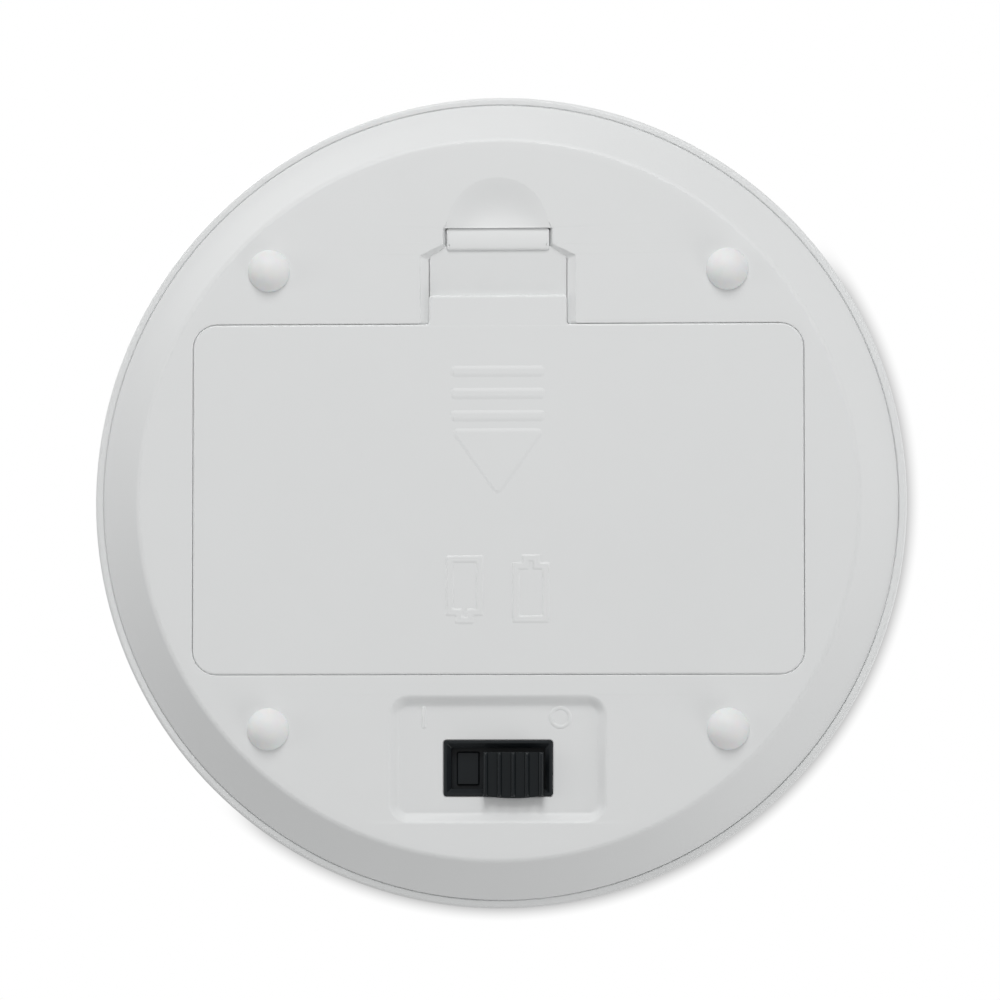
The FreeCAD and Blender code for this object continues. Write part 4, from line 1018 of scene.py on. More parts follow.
        # Bay, latch pocket and hinge notches open from the seat.
        bay = oblong(*self.bay_half, 1.0)
        bay_low = skin.loop(bay, self.seat)
        bay_top = skin.wall(bay, [(0.0, self.ceiling)], bay_low)
        slot, slim = share.tab_half + share.clear - 0.02, share.bar_half + share.clear - 0.02
        pocket = rounded(
            [
                (-slot, self.pocket_near, 0.3),
                (-slot, share.near_corner, 0.3),
                (-slim, share.far_corner, 0.3),
                (-slim, share.edge + 0.02, 0.2),
                (slim, share.edge + 0.02, 0.2),
                (slim, share.far_corner, 0.3),
                (slot, share.near_corner, 0.3),
                (slot, self.pocket_near, 0.3),
            ],
            3,
        )
        pocket_low = skin.loop(pocket, self.seat)
        skin.sheet(skin.wall(pocket, [(0.0, self.pocket)], pocket_low))
        notches = []
        near, far = self.hinge_mouth
        for side in self.hinge_places:
            left, right = side - self.hinge_half, side + self.hinge_half
            mouth = skin.loop([(left, near), (right, near), (right, far), (left, far)], self.seat)
            deep = [(left, near), (right, near), (right, self.hinge_reach), (left, self.hinge_reach)]
            inside = skin.loop(deep, self.seat + 0.05)
            skin.band(mouth, inside)
            end = skin.loop(deep, self.seat + self.hinge_depth)
            skin.band(inside, end)
            skin.sheet(end)
            notches.append(mouth)
        skin.sheet(ledge, bay_low, pocket_low, *notches)

        # Sunk switch panel with a soft wall, and the switch's window.
        x, y, corner, at = self.panel
        panel = oblong(x, y, corner, at)
        panel_top = skin.loop(panel, self.floor)
        cove = [(a, self.floor + b) for a, b in easing(self.panel_cove, self.panel_depth)]
        panel_floor = skin.wall(panel, cove, panel_top)
        x, y, corner, at = self.window
        window = oblong(x, y, corner, at)
        window_top = skin.loop(inset(window, -0.1), self.floor + self.panel_depth)
        window_end = skin.wall(
            window, [(0.0, self.floor + self.panel_depth + 0.1), (0.0, self.inner_floor)], window_top,
        )
        skin.sheet(panel_floor, window_top)
        skin.sheet(rings[0], first, panel_top)

        # Inner floor, the block round the seat and the pocket, and the bay's roof with its holes.
        wide, tall = self.block_half
        nose, tip = self.nose
        corner = self.block_corner
        block = rounded(
            [
                (-wide, -tall, corner), (-nose, -tall, 0.3), (-nose, -tip, 0.5), (nose, -tip, 0.5),
                (nose, -tall, 0.3), (wide, -tall, corner), (wide, tall, corner), (-wide, tall, corner),
            ],
            5,
        )
        block_low = skin.loop(block, self.inner_floor)
        skin.sheet(rings[-1], block_low, window_end)
        block_high = skin.wall(block, [(0.0, self.block_top)], block_low)
        box = oblong(self.bay_half[0] + self.bay_wall, self.bay_half[1] + self.bay_wall, 0.4)
        box_low = skin.loop(box, self.block_top)
        skin.sheet(block_high, box_low)
        box_high = skin.wall(box, [(0.0, self.roof_top)], box_low)
        below, above = [], []
        narrower, rise = self.beam_step
        for place in self.beam_holes:
            hole = circle(self.beam_hole_radius, 32, place)
            under = skin.loop(hole, self.ceiling)
            below.append(under)
            above.append(
                skin.wall(hole, [(narrower, self.ceiling + rise), (narrower, self.roof_top)], under)
            )
        for side in self.tag_slots:
            slit = oblong(*self.tag_slot, 0.1, side, self.tag_place)
            under = skin.loop(slit, self.ceiling)
            below.append(under)
            above.append(skin.wall(slit, [(0.0, self.roof_top)], under))
        skin.sheet(bay_top, *below)
        skin.sheet(box_high, *above)
        foot, top, bottom = self.boss_levels
        wide, bore = self.boss_radius, self.boss_bore
        for sx in (-1, 1):
            for sy in (-1, 1):
                post = [(0, foot), (wide, foot), (wide, top), (bore, top), (bore, bottom), (0, bottom)]
                skin.turned(post, 32, sx * self.boss[0], sy * self.boss[1])
        piece = skin.finish("bottom_shell_piece", Finishes.SHELL)
        return rides(piece, "base", Finishes.SHELL, "bottom_shell")


def raised(skin: Skin, outline: Sequence[Point], base: float, height: float, soft: float = 0.12) -> None:
    """A low island that stands down from a floor facing the table, with soft edges."""
    start = skin.loop(inset(outline, -soft), base + 0.03)
    ring = skin.wall(outline, [(-soft, base), (-soft * 0.45, base - height * 0.35)], start)
    ring = skin.wall(outline, [(0.0, base - height * 0.8), (soft * 0.6, base - height)], ring)
    skin.sheet(start)
    skin.sheet(ring)


@dataclass
class BatteryCover:
    """Flush cover with a tab in front, hinge tabs behind, the pull arrow and two pictures of cells."""

    latching: Latching
    floor: float = low("bottom_shell").z
    half: Point = (high("battery_cover").x, 17.5)
    corner: float = 2.4
    thick: float = 1.5
    tab_front: float = low("battery_cover").y
    mark: float = 0.06
    mark_soft: float = 0.22
    bar_half: Point = (4.5, 0.36)
    bars: tuple[float, ...] = (-12.75, -10.5, -8.3)
    head: tuple[float, float, float] = (4.5, -6.85, -0.55)
    hinge_places: Point = (-16.0, 16.0)
    hook_half: Point = (3.0, 1.7)
    hook_place: float = 17.2
    hook_levels: Point = (3.3, 4.2)
    root_half: Point = (3.0, 0.9)
    root_place: float = 16.4
    root_levels: Point = (3.0, 3.4)
    rib_places: Point = (-24.0, 24.0)
    rib_half: Point = (0.5, 14.0)
    rib_levels: Point = (3.05, 3.3)
    pictures: tuple[float, float] = (3.3, 9.0)

    def build(self) -> None:
        """Builds the plate with its hinge hooks and ribs, the marks, and the bars of the arrow."""
        skin = Skin()
        x, y = self.half
        tab = self.latching.tab_half
        outline = rounded(
            [(-tab, -y, 0.25), (-tab, self.tab_front, 0.35), (tab, self.tab_front, 0.35), (tab, -y, 0.25),
             (x, -y, self.corner), (x, y, self.corner), (-x, y, self.corner), (-x, -y, self.corner)]
        )
        skin.block(outline, self.floor, self.floor + self.thick, 0.22)
        for side in self.hinge_places:
            skin.block(oblong(*self.hook_half, 0.2, self.hook_place, side), *self.hook_levels, 0.1)
            skin.block(oblong(*self.root_half, 0.2, self.root_place, side), *self.root_levels, 0.02)
        for side in self.rib_places:
            skin.block(oblong(*self.rib_half, 0.2, 0, side), *self.rib_levels, 0.05)
        head = [
            (-self.head[0], self.head[1], 0.3), (self.head[0], self.head[1], 0.3), (0, self.head[2], 0.3),
        ]
        raised(skin, rounded(head), self.floor, self.mark, self.mark_soft)
        for flip in (1, -1):
            self.cell_picture(skin, -flip * self.pictures[0], self.pictures[1], flip)
        piece = skin.finish("battery_cover_piece", Finishes.SHELL)
        rides(piece, "cover", Finishes.SHELL, "battery_cover")
        self.arrow_bars()

    def cell_picture(self, skin: Skin, x: float, y: float, flip: int) -> None:
        """A low soft-edged outline of one cell with its nub."""

        def outline(grow: float) -> list[Point]:
            """The cell's outline, grown or shrunk all round."""
            body, nub, base, shoulder, tip = 1.7 + grow, 0.75 + grow, -3.2 - grow, 2.5 + grow, 3.3 + grow
            steps = [(body, base), (body, shoulder), (nub, shoulder), (nub, tip)]
            steps += [(-a, b) for a, b in reversed(steps)]
            corners = [(x + a, y + b * flip, 0.16) for a, b in steps]
            return rounded(corners if flip > 0 else list(reversed(corners)), 4)

        rings = [(0.2, -0.03), (0.2, 0.0), (0.1, 0.03), (0.0, 0.08), (-0.12, self.mark), (-0.28, self.mark)]
        rings += [(-0.4, 0.08), (-0.5, 0.03), (-0.6, 0.0), (-0.6, -0.03)]
        loops = [skin.loop(outline(grow), self.floor - rise) for grow, rise in rings]
        for one, two in zip(loops, loops[1:] + loops[:1]):
            skin.band(one, two)

    def arrow_bars(self) -> None:
        """Three bars in a row over the arrow's head, grown from one bar."""
        skin = Skin()
        raised(skin, oblong(*self.bar_half, 0.24), self.floor, self.mark, self.mark_soft)
        bar = skin.finish("arrow_bar_master", Finishes.SHELL)
        pitch = (self.bars[-1] - self.bars[0]) / (len(self.bars) - 1)
        mesh = Grown.row("arrow_bars", bar, "Y", (len(self.bars), self.bars[0], pitch), Finishes.SHELL)
        rides(shaded("arrow_bars", mesh, Finishes.SHELL), "cover", Finishes.SHELL)


@dataclass
class CoverLatch:
    """The free end of the cover's spring: a thin sunk strip and the finger bar."""

    latching: Latching
    floor: float = low("bottom_shell").z
    thick: float = 0.9
    bar_sink: float = 0.15
    bar_high: float = 1.15
    tilt: float = 0.055
    steps: int = 8

    def station(self, skin: Skin, half: float, y: float, z: float) -> list:
        """One upright section across the strip."""
        soft = 0.18
        edge = self.thick / 2
        places = []
        for sx, sz in ((1, -1), (1, 1), (-1, 1), (-1, -1)):
            corner = [(half, edge - soft), (half - soft * 0.3, edge - soft * 0.3), (half - soft, edge)]
            if sx * sz < 0:
                corner.reverse()
            places += [(sx * a, y, z + sz * b) for a, b in corner]
        return skin.points(places)

    def bar(self, skin: Skin) -> None:
        """The finger bar: a long soft edge to the scoop, a short round one to the strip."""
        share = self.latching
        low_z, high_z = self.floor + self.bar_sink, self.floor + self.bar_sink + self.bar_high
        drop = share.sink - self.bar_sink + 0.05
        rings = [
            (1.5, 0.32, 0.0), (1.2, 0.22, 0.015), (0.9, 0.14, 0.04), (0.6, 0.08, 0.08), (0.3, 0.04, 0.13),
        ]
        rings += [(0.0, 0.01, 0.18), (0.0, 0.0, drop), (0.0, 0.0, high_z - low_z)]
        loops = []
        for far, near, fall in rings:
            y0, y1 = share.bar_far + far, share.bar_near - near
            outline = oblong(share.bar_half - near, (y1 - y0) / 2, 0.28, (y0 + y1) / 2)
            loops.append(skin.loop(outline, low_z + fall))
        for one, two in zip(loops, loops[1:]):
            skin.band(one, two)
        skin.sheet(loops[0])
        skin.sheet(loops[-1])

    def build(self) -> None:
        """Builds the strip and the bar, and hides the CAD latch that they stand for."""
        skin = Skin()
        share = self.latching
        deep = self.floor + share.sink + self.thick / 2
        front = low("battery_cover").y
        wide = share.tab_half - 0.01
        stops = [(wide, front + 0.6)]
        run = share.near_corner - 0.25 - front
        stops += [(wide, front + run * k / self.steps) for k in range(1, self.steps + 1)]
        stops += [(share.bar_half, share.far_corner - 0.15), (share.bar_half - 0.05, share.bar_far + 0.4)]
        middle = (front + share.bar_near) / 2
        rings = [self.station(skin, half, y, deep + self.tilt * (y - middle)) for half, y in stops]
        for one, two in zip(rings, rings[1:]):
            skin.band(one, two)
        skin.sheet(rings[0])
        skin.sheet(rings[-1])
        self.bar(skin)
        piece = skin.finish("cover_latch_piece", Finishes.SHELL)
        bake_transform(piece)
        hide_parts("cover_latch")
        LOG.info("%s: bends between cover and latch", piece.name)


@dataclass
class Feet:
    """Four silicone domes grown on a square of points."""

    radius: float = 2.1
    place: float = high("feet").x - radius
    height: float = low("bottom_shell").z
    stem: float = 1.18
    bead: float = 1.6
    bead_levels: Point = (3.4, 4.2)
    steps: int = 14

    def build(self) -> None:
        """Builds one dome and repeats it."""
        skin = Skin()
        ball = (self.radius ** 2 + self.height ** 2) / (2 * self.height)
        end = math.asin(self.radius / ball)
        if self.height > ball:
            end = math.pi - end
        turns = [end * k / self.steps for k in range(self.steps - 1)]
        dome = [(ball * math.sin(turn), ball * (1 - math.cos(turn))) for turn in turns]
        rim = [
            (self.radius * 0.985, self.height * 0.86),
            (self.radius, self.height * 0.97),
            (self.radius, self.height),
        ]
        low_bead, high_bead = self.bead_levels
        stem = [(self.stem, self.height), (self.stem, low_bead)]
        stem += [(self.bead, low_bead), (self.bead - 0.4, high_bead), (0, high_bead)]
        skin.turned(dome + rim + stem, 48)
        master = skin.finish("foot_master", Finishes.SILICONE, 50.0)

        def build(t: Tree) -> bpy.types.NodeSocket:
            """Instances on the corners of a square."""
            given = t.add("NodeGroupInput").outputs
            grid = t.add(
                "GeometryNodeMeshGrid",
                {"Size X": given["Spacing"], "Size Y": given["Spacing"], "Vertices X": 2, "Vertices Y": 2},
            )
            return Grown.instances(t, grid, master)

        mesh = Grown.run("feet_grid", build, {"Spacing": 2 * self.place * MM}, Finishes.SILICONE)
        bpy.data.objects.remove(master)
        rides(shaded("feet_piece", mesh, Finishes.SILICONE, 50.0), "base", Finishes.SILICONE, "feet")


@dataclass
class UpperHousing:
    """The drum that laps over the shell, with a rounded top edge and a deck."""

    radius: float = high("upper_housing").x
    draft: float = 0.55
    low_edge: float = low("upper_housing").z
    top: float = high("upper_housing").z
    deck: float = 1.6
    lap: float = 39.92
    lap_top: float = 10.2
    chin: Point = (0.37, 0.4)
    shoulder: float = 1.3
    display_hole: tuple[float, float, float] = (13.6, 5.4, 0.6)
    beam_hole: tuple[float, float, float] = (20.5, 6.5, 1.5)
    screw_hole: float = 1.35
    screws: Point = (27.6, 21.9)
    wall: float = 2.0
    steps: int = 192

    def build(self) -> None:
        """Builds the drum and deck as one closed surface."""
        skin = Skin()
        r, z, top = self.radius, self.low_edge, self.top
        narrow = r - self.draft
        profile = [(self.lap, z + 0.12), (self.lap + 0.12, z), (r - 0.38, z)]
        profile += [(r - 0.38 + a, z + b) for a, b in quarter((0, 0), self.chin, 5)]
        bend = self.shoulder
        profile += [(narrow + 0.03, top - bend)]
        profile += [(narrow - b, top - bend + a) for a, b in quarter((0, 0), (bend, bend), 7)]
        inner = narrow - self.wall
        back = [
            (inner, top - self.deck), (inner, self.lap_top), (self.lap, self.lap_top), (self.lap, z + 0.12),
        ]
        out = [skin.loop(circle(a, self.steps), b) for a, b in profile]
        for one, two in zip(out, out[1:]):
            skin.band(one, two)
        inside = [skin.loop(circle(a, self.steps), b) for a, b in back[:-1]]
        for one, two in zip(inside, inside[1:]):
            skin.band(one, two)
        skin.band(inside[-1], out[0])
        under, over = [], []
        display = (low("lcd_panel").y + high("lcd_panel").y) / 2
        holes = [oblong(*self.display_hole, display), oblong(*self.beam_hole)]
        x, y = self.screws
        holes += [circle(self.screw_hole, 24, sx * x, sy * y) for sx in (-1, 1) for sy in (-1, 1)]
        for hole in holes:
            ring = skin.loop(hole, top - self.deck)
            under.append(ring)
            over.append(skin.wall(hole, [(0.0, top - 0.15), (-0.15, top)], ring))
        skin.sheet(out[-1], *over)
        skin.sheet(inside[0], *under)
        rides(skin.finish("upper_housing_piece", Finishes.SHELL), "base", Finishes.SHELL, "upper_housing")


@dataclass
class Platform:
    """Carrier and foam tape, each with a window over the display, and the glass disc."""

    display: float = (low("lcd_panel").y + high("lcd_panel").y) / 2
    window: tuple[float, float, float] = (14.1, 5.9, 1.5)

    def ringed(
        self, name: str, outer: Sequence[Point], hole: Sequence[Point], finish: Finishes, *nodes: str,
    ) -> None:
        """A disc with a window, from an outer (radius, level) profile."""
        skin = Skin()
        rings = [skin.loop(circle(r, 192), z) for r, z in outer]
        for one, two in zip(rings, rings[1:]):
            skin.band(one, two)
        first = skin.loop(hole, outer[0][1])
        last = skin.wall(hole, [(0.0, outer[-1][1])], first)
        skin.sheet(rings[0], first)
        skin.sheet(rings[-1], last)
        rides(skin.finish(name, finish), "platform", finish, *nodes)

    def build(self) -> None:
        """Builds the three layers from below upwards."""
        hole = oblong(*self.window, self.display)
        a, b = low("platform_carrier"), high("platform_carrier")
        r = b.x
        plate = low("platform_carrier").z + 0.5
        outer = [(r - 1.1, plate), (r - 1.1, a.z), (r - 0.3, a.z), (r, a.z + 0.3), (r, b.z - 0.35),
                 (r - 0.1, b.z - 0.1), (r - 0.35, b.z)]
        self.ringed("platform_carrier_piece", outer, hole, Finishes.SHELL, "platform_carrier")
        a, b = low("mounting_tape"), high("mounting_tape")
        self.ringed(
            "mounting_tape_piece", [(b.x, a.z), (b.x, b.z - 0.02)], hole, Finishes.TAPE, "mounting_tape",
        )
        a, b = low("glass_platform"), high("glass_platform")
        r = b.x
        glass = [(0, a.z), (r - 0.25, a.z), (r - 0.07, a.z + 0.07), (r, a.z + 0.25), (r, b.z - 0.6),
                 (r - 0.05, b.z - 0.42), (r - 0.42, b.z - 0.05), (r - 0.6, b.z), (0, b.z)]
        skin = Skin()
        skin.turned(glass, 192)
        rides(
            skin.finish("glass_platform_piece", Finishes.GLASS, 30.0),
            "platform",
            Finishes.GLASS,
            "glass_platform",
        )


@dataclass
class Display:
    """Liquid crystal panel with the faint segments of its four digits, and its frame."""

    centre: Vector = field(default_factory=lambda: (low("lcd_panel") + high("lcd_panel")) / 2)
    top: float = high("lcd_panel").z
    digit: Point = (3.6, 6.6)
    pitch: float = 5.4
    stroke: float = 0.62
    slant: float = 0.09
    digits: int = 4
    joint: float = 0.12
    dot: float = 0.36
    dot_gap: float = 0.95

    def printed(self, skin: Skin, outline: Sequence[Point]) -> None:
        """A thin closed film on top of the panel."""
        lower, upper = skin.loop(outline, self.top - 0.01), skin.loop(outline, self.top + 0.02)
        skin.band(lower, upper)
        skin.sheet(lower)
        skin.sheet(upper)

    def segment(self, skin: Skin, x: float, y: float, half: float, lying: bool) -> None:
        """One six-sided segment that leans with its digit.

        Args:
            skin: the surface that it joins.
            x: its middle.
            y: its middle.
            half: half its length.
            lying: whether it lies across the digit.
        """
        w = self.stroke / 2
        shape = [(-half, 0), (-half + w, -w), (half - w, -w), (half, 0), (half - w, w), (-half + w, w)]
        if not lying:
            shape = [(b, a) for a, b in reversed(shape)]
        places = [(x + a, y + b) for a, b in shape]
        self.printed(skin, [(a + (b - self.centre.y) * self.slant, b) for a, b in places])

    def build(self) -> None:
        """Builds the segments and dresses the panel."""
        smooth_copy("lcd_panel", "base", Finishes.DISPLAY)
        smooth_copy("lcd_frame", "base", Finishes.FRAME)
        smooth_copy("contact_rubber", "base", Finishes.RUBBER)
        skin = Skin()
        wide, tall = self.digit
        for i in range(self.digits):
            x = self.centre.x + (i - (self.digits - 1) / 2) * self.pitch
            y = self.centre.y
            for step in (-1, 0, 1):
                self.segment(skin, x, y + step * tall / 2, wide / 2 - self.joint, True)
            for side in (-1, 1):
                for step in (-1, 1):
                    self.segment(
                        skin, x + side * wide / 2, y + step * tall / 4, tall / 4 - self.joint, False,
                    )
            dot_x = x + wide / 2 + self.dot_gap - tall / 2 * self.slant
            self.printed(skin, circle(self.dot, 12, dot_x, y - tall / 2))
        rides(skin.finish("display_segments", Finishes.GHOST), "base", Finishes.GHOST)


@dataclass
class SlideSwitch:
    """Black frame with a bevelled rim, the ribbed knob, and what hides behind them."""

    at: float = 26.8
    rim: float = low("switch_frame").z
    half: Point = (5.4, 2.75)
    well: Point = (4.7, 2.05)
    well_depth: float = 1.4
    flange: Point = (7.0, 4.0)
    flange_levels: Point = (3.6, 4.8)
    lip: Point = (0.28, 0.26)
    bevel: float = 0.45
    slot_gap: float = 0.15
    plinth: tuple[float, float, float] = (1.05, 1.6, -3.05)
    plinth_rise: float = 0.3
    pad_x: Point = (low("switch_knob").x, high("switch_knob").x)
    pad_y: Point = (25.2, 29.55)
    pad_low: float = 1.4
    pad_high: float = 2.15
    bulge: float = 0.25
    ridges: int = 5
    ridge: Point = (0.5, 0.4)
    stem: tuple[float, float, float] = (1.9, 3.9, 0.7)
    travel: float = 3.25
    signs: tuple[float, float, float] = (-7.4, 21.75, 6.2)
    sign_rise: float = 0.07
    ring: float = 1.1

    def frame(self) -> None:
        """The frame: outer prism, bevelled rim, well with a slot and a low plinth."""
        skin = Skin()
        outer = oblong(*self.half, 0.18, self.at)
        top = skin.loop(inset(outer, 0.08), self.rim)
        low_flange, high_flange = self.flange_levels
        side = skin.wall(outer, [(0.0, self.rim + 0.08), (0.0, low_flange)], top)
        flange = oblong(*self.flange, 0.3, self.at)
        flange_low = skin.loop(flange, low_flange)
        skin.sheet(flange_low, side)
        flange_high = skin.wall(flange, [(0.0, high_flange)], flange_low)
        lip = oblong(self.half[0] - self.lip[0], self.half[1] - self.lip[1], 0.12, self.at)
        lip_ring = skin.loop(lip, self.rim)
        skin.sheet(top, lip_ring)
        well = oblong(*self.well, 0.12, self.at)
        first = skin.loop(well, self.rim + self.bevel)
        skin.band(lip_ring, first)
        floor = skin.wall(well, [(0.0, self.rim + self.well_depth)], first)
        gap = self.slot_gap
        left, right = self.stem[0] - self.travel - gap, self.stem[1] + gap
        slot = oblong((right - left) / 2, self.stem[2] + gap, 0.1, self.at, (left + right) / 2)
        slot_low = skin.loop(slot, self.rim + self.well_depth)
        slot_high = skin.wall(slot, [(0.0, high_flange)], slot_low)
        skin.sheet(floor, slot_low)
        skin.sheet(flange_high, slot_high)
        half_x, half_y, place = self.plinth
        plinth = oblong(half_x, half_y, 0.12, self.at, place)
        raised(skin, plinth, self.rim + self.well_depth, self.plinth_rise, 0.1)
        # The frame wears the lighter copy of the switch's black: painted light for its shaded well.
        rides(
            skin.finish("switch_frame_piece", Finishes.SOCKET, 25.0),
            "base",
            Finishes.SOCKET,
            "switch_frame",
        )

    def pad_outline(self, grow: float = 0.0) -> list[Point]:
        """The knob's pad: a rectangle whose far side bulges."""
        (x0, x1), (y0, y1) = self.pad_x, self.pad_y
        middle, half = (x0 + x1) / 2, (x1 - x0) / 2
        far = []
        for k in range(9):
            x = half - 2 * half * k / 8
            far.append((middle + x, y1 + self.bulge * (1 - (x / half) ** 2)))
        return inset([(x0, y0), (x1, y0), *far], -grow) if grow else [(x0, y0), (x1, y0), *far]

    def knob(self) -> None:
        """The pad with its stem, and ridges grown in a row."""
        skin = Skin()
        pad = self.pad_outline()
        first = skin.loop(inset(pad, 0.12), self.pad_low)
        last = skin.wall(
            pad, [(0.03, self.pad_low + 0.04), (0.0, self.pad_low + 0.14), (0.0, self.pad_high)], first,
        )
        skin.sheet(first)
        skin.sheet(last)
        x0, x1, half = self.stem
        skin.block(oblong((x1 - x0) / 2, half, 0.1, self.at, (x0 + x1) / 2), self.pad_high - 0.1, 6.6, 0.02)
        rides(
            skin.finish("switch_knob_piece", Finishes.SWITCH),
            "switch_slider",
            Finishes.SWITCH,
            "switch_knob",
        )

        rib = Skin()
        wide, tall = self.ridge
        near, far = self.pad_y
        section = [(-wide / 2, 0.15)]
        section += [
            (-wide / 2 * math.cos(a), -tall * math.sin(a))
            for a in [math.pi * k / 10 for k in range(11)]
        ]
        section += [(wide / 2, 0.15)]
        rows = [
            (near + 0.02, 0.55),
            (near + 0.12, 0.9),
            (near + 0.3, 1.0),
            (far - 0.15, 1.0),
            (far + 0.02, 0.85),
            (far + 0.1, 0.5),
        ]
        rings = [
            rib.points([(a, y, self.pad_low + b * (share if b < 0 else 1)) for a, b in section])
            for y, share in rows
        ]
        for one, two in zip(rings, rings[1:]):
            rib.band(one, two)
        rib.sheet(rings[0])
        rib.sheet(rings[-1])
        master = rib.finish("ridge_master", Finishes.SWITCH, 40.0)
        pitch = (self.pad_x[1] - self.pad_x[0] - wide) / (self.ridges - 1)
        start = self.pad_x[0] + wide / 2
        mesh = Grown.row("knob_ridges", master, "X", (self.ridges, start, pitch), Finishes.SWITCH)
        rides(shaded("switch_knob_ridges", mesh, Finishes.SWITCH, 40.0), "switch_slider", Finishes.SWITCH)

    def symbols(self) -> None:
        """Faint raised signs over the two ends of the switch: a stroke and a ring."""
        skin = Skin()
        floor = self.rim + 0.1
        rise, line = self.sign_rise, self.signs[1]
        raised(skin, oblong(0.16, 1.05, 0.12, line, self.signs[0]), floor, rise, 0.08)
        outer = circle(self.ring, 40, self.signs[2], line)
        start = skin.loop(inset(outer, -0.05), floor + 0.02)
        edge = skin.wall(
            outer, [(-0.05, floor), (0.05, floor - rise), (0.27, floor - rise), (0.37, floor)], start,
        )
        skin.band(skin.wall(outer, [(0.37, floor + 0.02)], edge), start)
        rides(skin.finish("switch_symbols", Finishes.SHELL), "base", Finishes.SHELL)

    def build(self) -> None:
        """Builds the whole switch."""
        self.frame()
        self.knob()
        self.symbols()
        smooth_copy("switch_can", "base", Finishes.TIN)
        smooth_copy("switch_insulator", "base", Finishes.PHENOLIC)
        smooth_copy("switch_pins", "base", Finishes.BRASS)
        smooth_copy("switch_carriage", "switch_slider", Finishes.SWITCH)
        smooth_copy("switch_wiper", "switch_slider", Finishes.BRASS)


@dataclass
class Cells:
    """Two cells with their sleeves, the contact plates and the grown coil springs."""

    place: float = 7.4
    axis: float = 10.65
    plate: float = 28.9
    inner: float = 22.6
    turns: float = 5.0
    coil: Point = (3.85, 2.9)
    wire: float = 0.33
    tail: Point = (0.42, 0.9)

    def springs(self) -> None:
        """Two coils that taper from their plate to the cell."""

        def build(t: Tree) -> bpy.types.NodeSocket:
            """A round wire along a tapering spiral."""
            given = t.add("NodeGroupInput").outputs
            coil = t.add(
                "GeometryNodeCurveSpiral",
                {"Resolution": 40, "Rotations": given["Turns"], "Start Radius": given["Wide"],
                 "End Radius": given["Slim"], "Height": given["Height"]},
            )
            ring = t.add(
                "GeometryNodeCurvePrimitiveCircle",
                {"Resolution": 12, "Radius": given["Wire"]},
                mode="RADIUS",
            )
            return t.add(
                "GeometryNodeCurveToMesh",
                {"Curve": coil.outputs[0], "Profile Curve": ring.outputs[0], "Fill Caps": True},
            ).outputs[0]

        gap = self.plate - self.inner
        wide, slim = self.coil
        sizes = {
            "Turns": self.turns,
            "Wide": wide * MM,
            "Slim": slim * MM,
            "Height": (gap - self.tail[1]) * MM,
            "Wire": self.wire * MM,
        }
        mesh = Grown.run("coil_spring", build, sizes, Finishes.NICKEL)
        work = bmesh.new()
        for flip in (-1, 1):
            turn = Matrix.Rotation(math.radians(90 * flip), 4, "Y")
            start = Vector((-flip * (self.plate - self.tail[0]), flip * self.place, self.axis)) * MM
            one = mesh.copy()
            one.transform(Matrix.Translation(start) @ turn)
            work.from_mesh(one)
        both = bpy.data.meshes.new("contact_springs_mesh")
        bmesh.ops.recalc_face_normals(work, faces=work.faces)
        work.to_mesh(both)
        work.free()
        rides(
            shaded("contact_springs_piece", both, Finishes.NICKEL, 50.0),
            "base",
            Finishes.NICKEL,
            "contact_springs",
        )

    def build(self) -> None:
        """Builds cells, contacts and springs."""
        smooth_copy("battery_cells", "base", Finishes.CAN)
        smooth_copy("battery_sleeves", "base", Finishes.SLEEVE)
        for node in ("bridge_contact", "positive_contact", "negative_contact"):
            smooth_copy(node, "base", Finishes.NICKEL)
        self.springs()


@dataclass
class Works:
    """Load cell, screws, board and leads, which keep their CAD shapes."""

    dressing: tuple[tuple[str, str, Finishes], ...] = (
        ("load_cell", "base", Finishes.BEAM),
        ("lower_spacer", "base", Finishes.BEAM),
        ("upper_spacer", "platform", Finishes.BEAM),
        ("gauge_coating", "base", Finishes.COATING),
        ("lower_beam_screws", "base", Finishes.SCREW),
        ("upper_beam_screws", "platform", Finishes.SCREW),
        ("housing_screws", "base", Finishes.SCREW),
        ("board_screws", "base", Finishes.SCREW),
        ("circuit_board", "base", Finishes.BOARD),
        ("chip_blob", "base", Finishes.EPOXY),
        ("board_parts", "base", Finishes.PARTS),
        ("battery_lead_positive", "base", Finishes.RED),
        ("battery_lead_negative", "base", Finishes.BLACK),
        ("switch_lead", "base", Finishes.YELLOW),
        ("load_cell_leads", "base", Finishes.BLUE),
    )
    held: float = 21.3
    travel: float = 0.4

    def build(self) -> None:
        """Dresses every inner part, and gives the load cell and its coating meshes of their own."""
        for node, body, finish in self.dressing:
            piece = smooth_copy(node, body, finish)
            if node in ("load_cell", "gauge_coating"):
                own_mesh(piece)


# --------------------------------------------------------------------------- stage, light and camera


@dataclass(frozen=True)
class Lamp:
    """A soft square lamp: where it stands, in metres, its size and its power."""

    name: str
    place: tuple[float, float, float]
    size: float
    watts: float


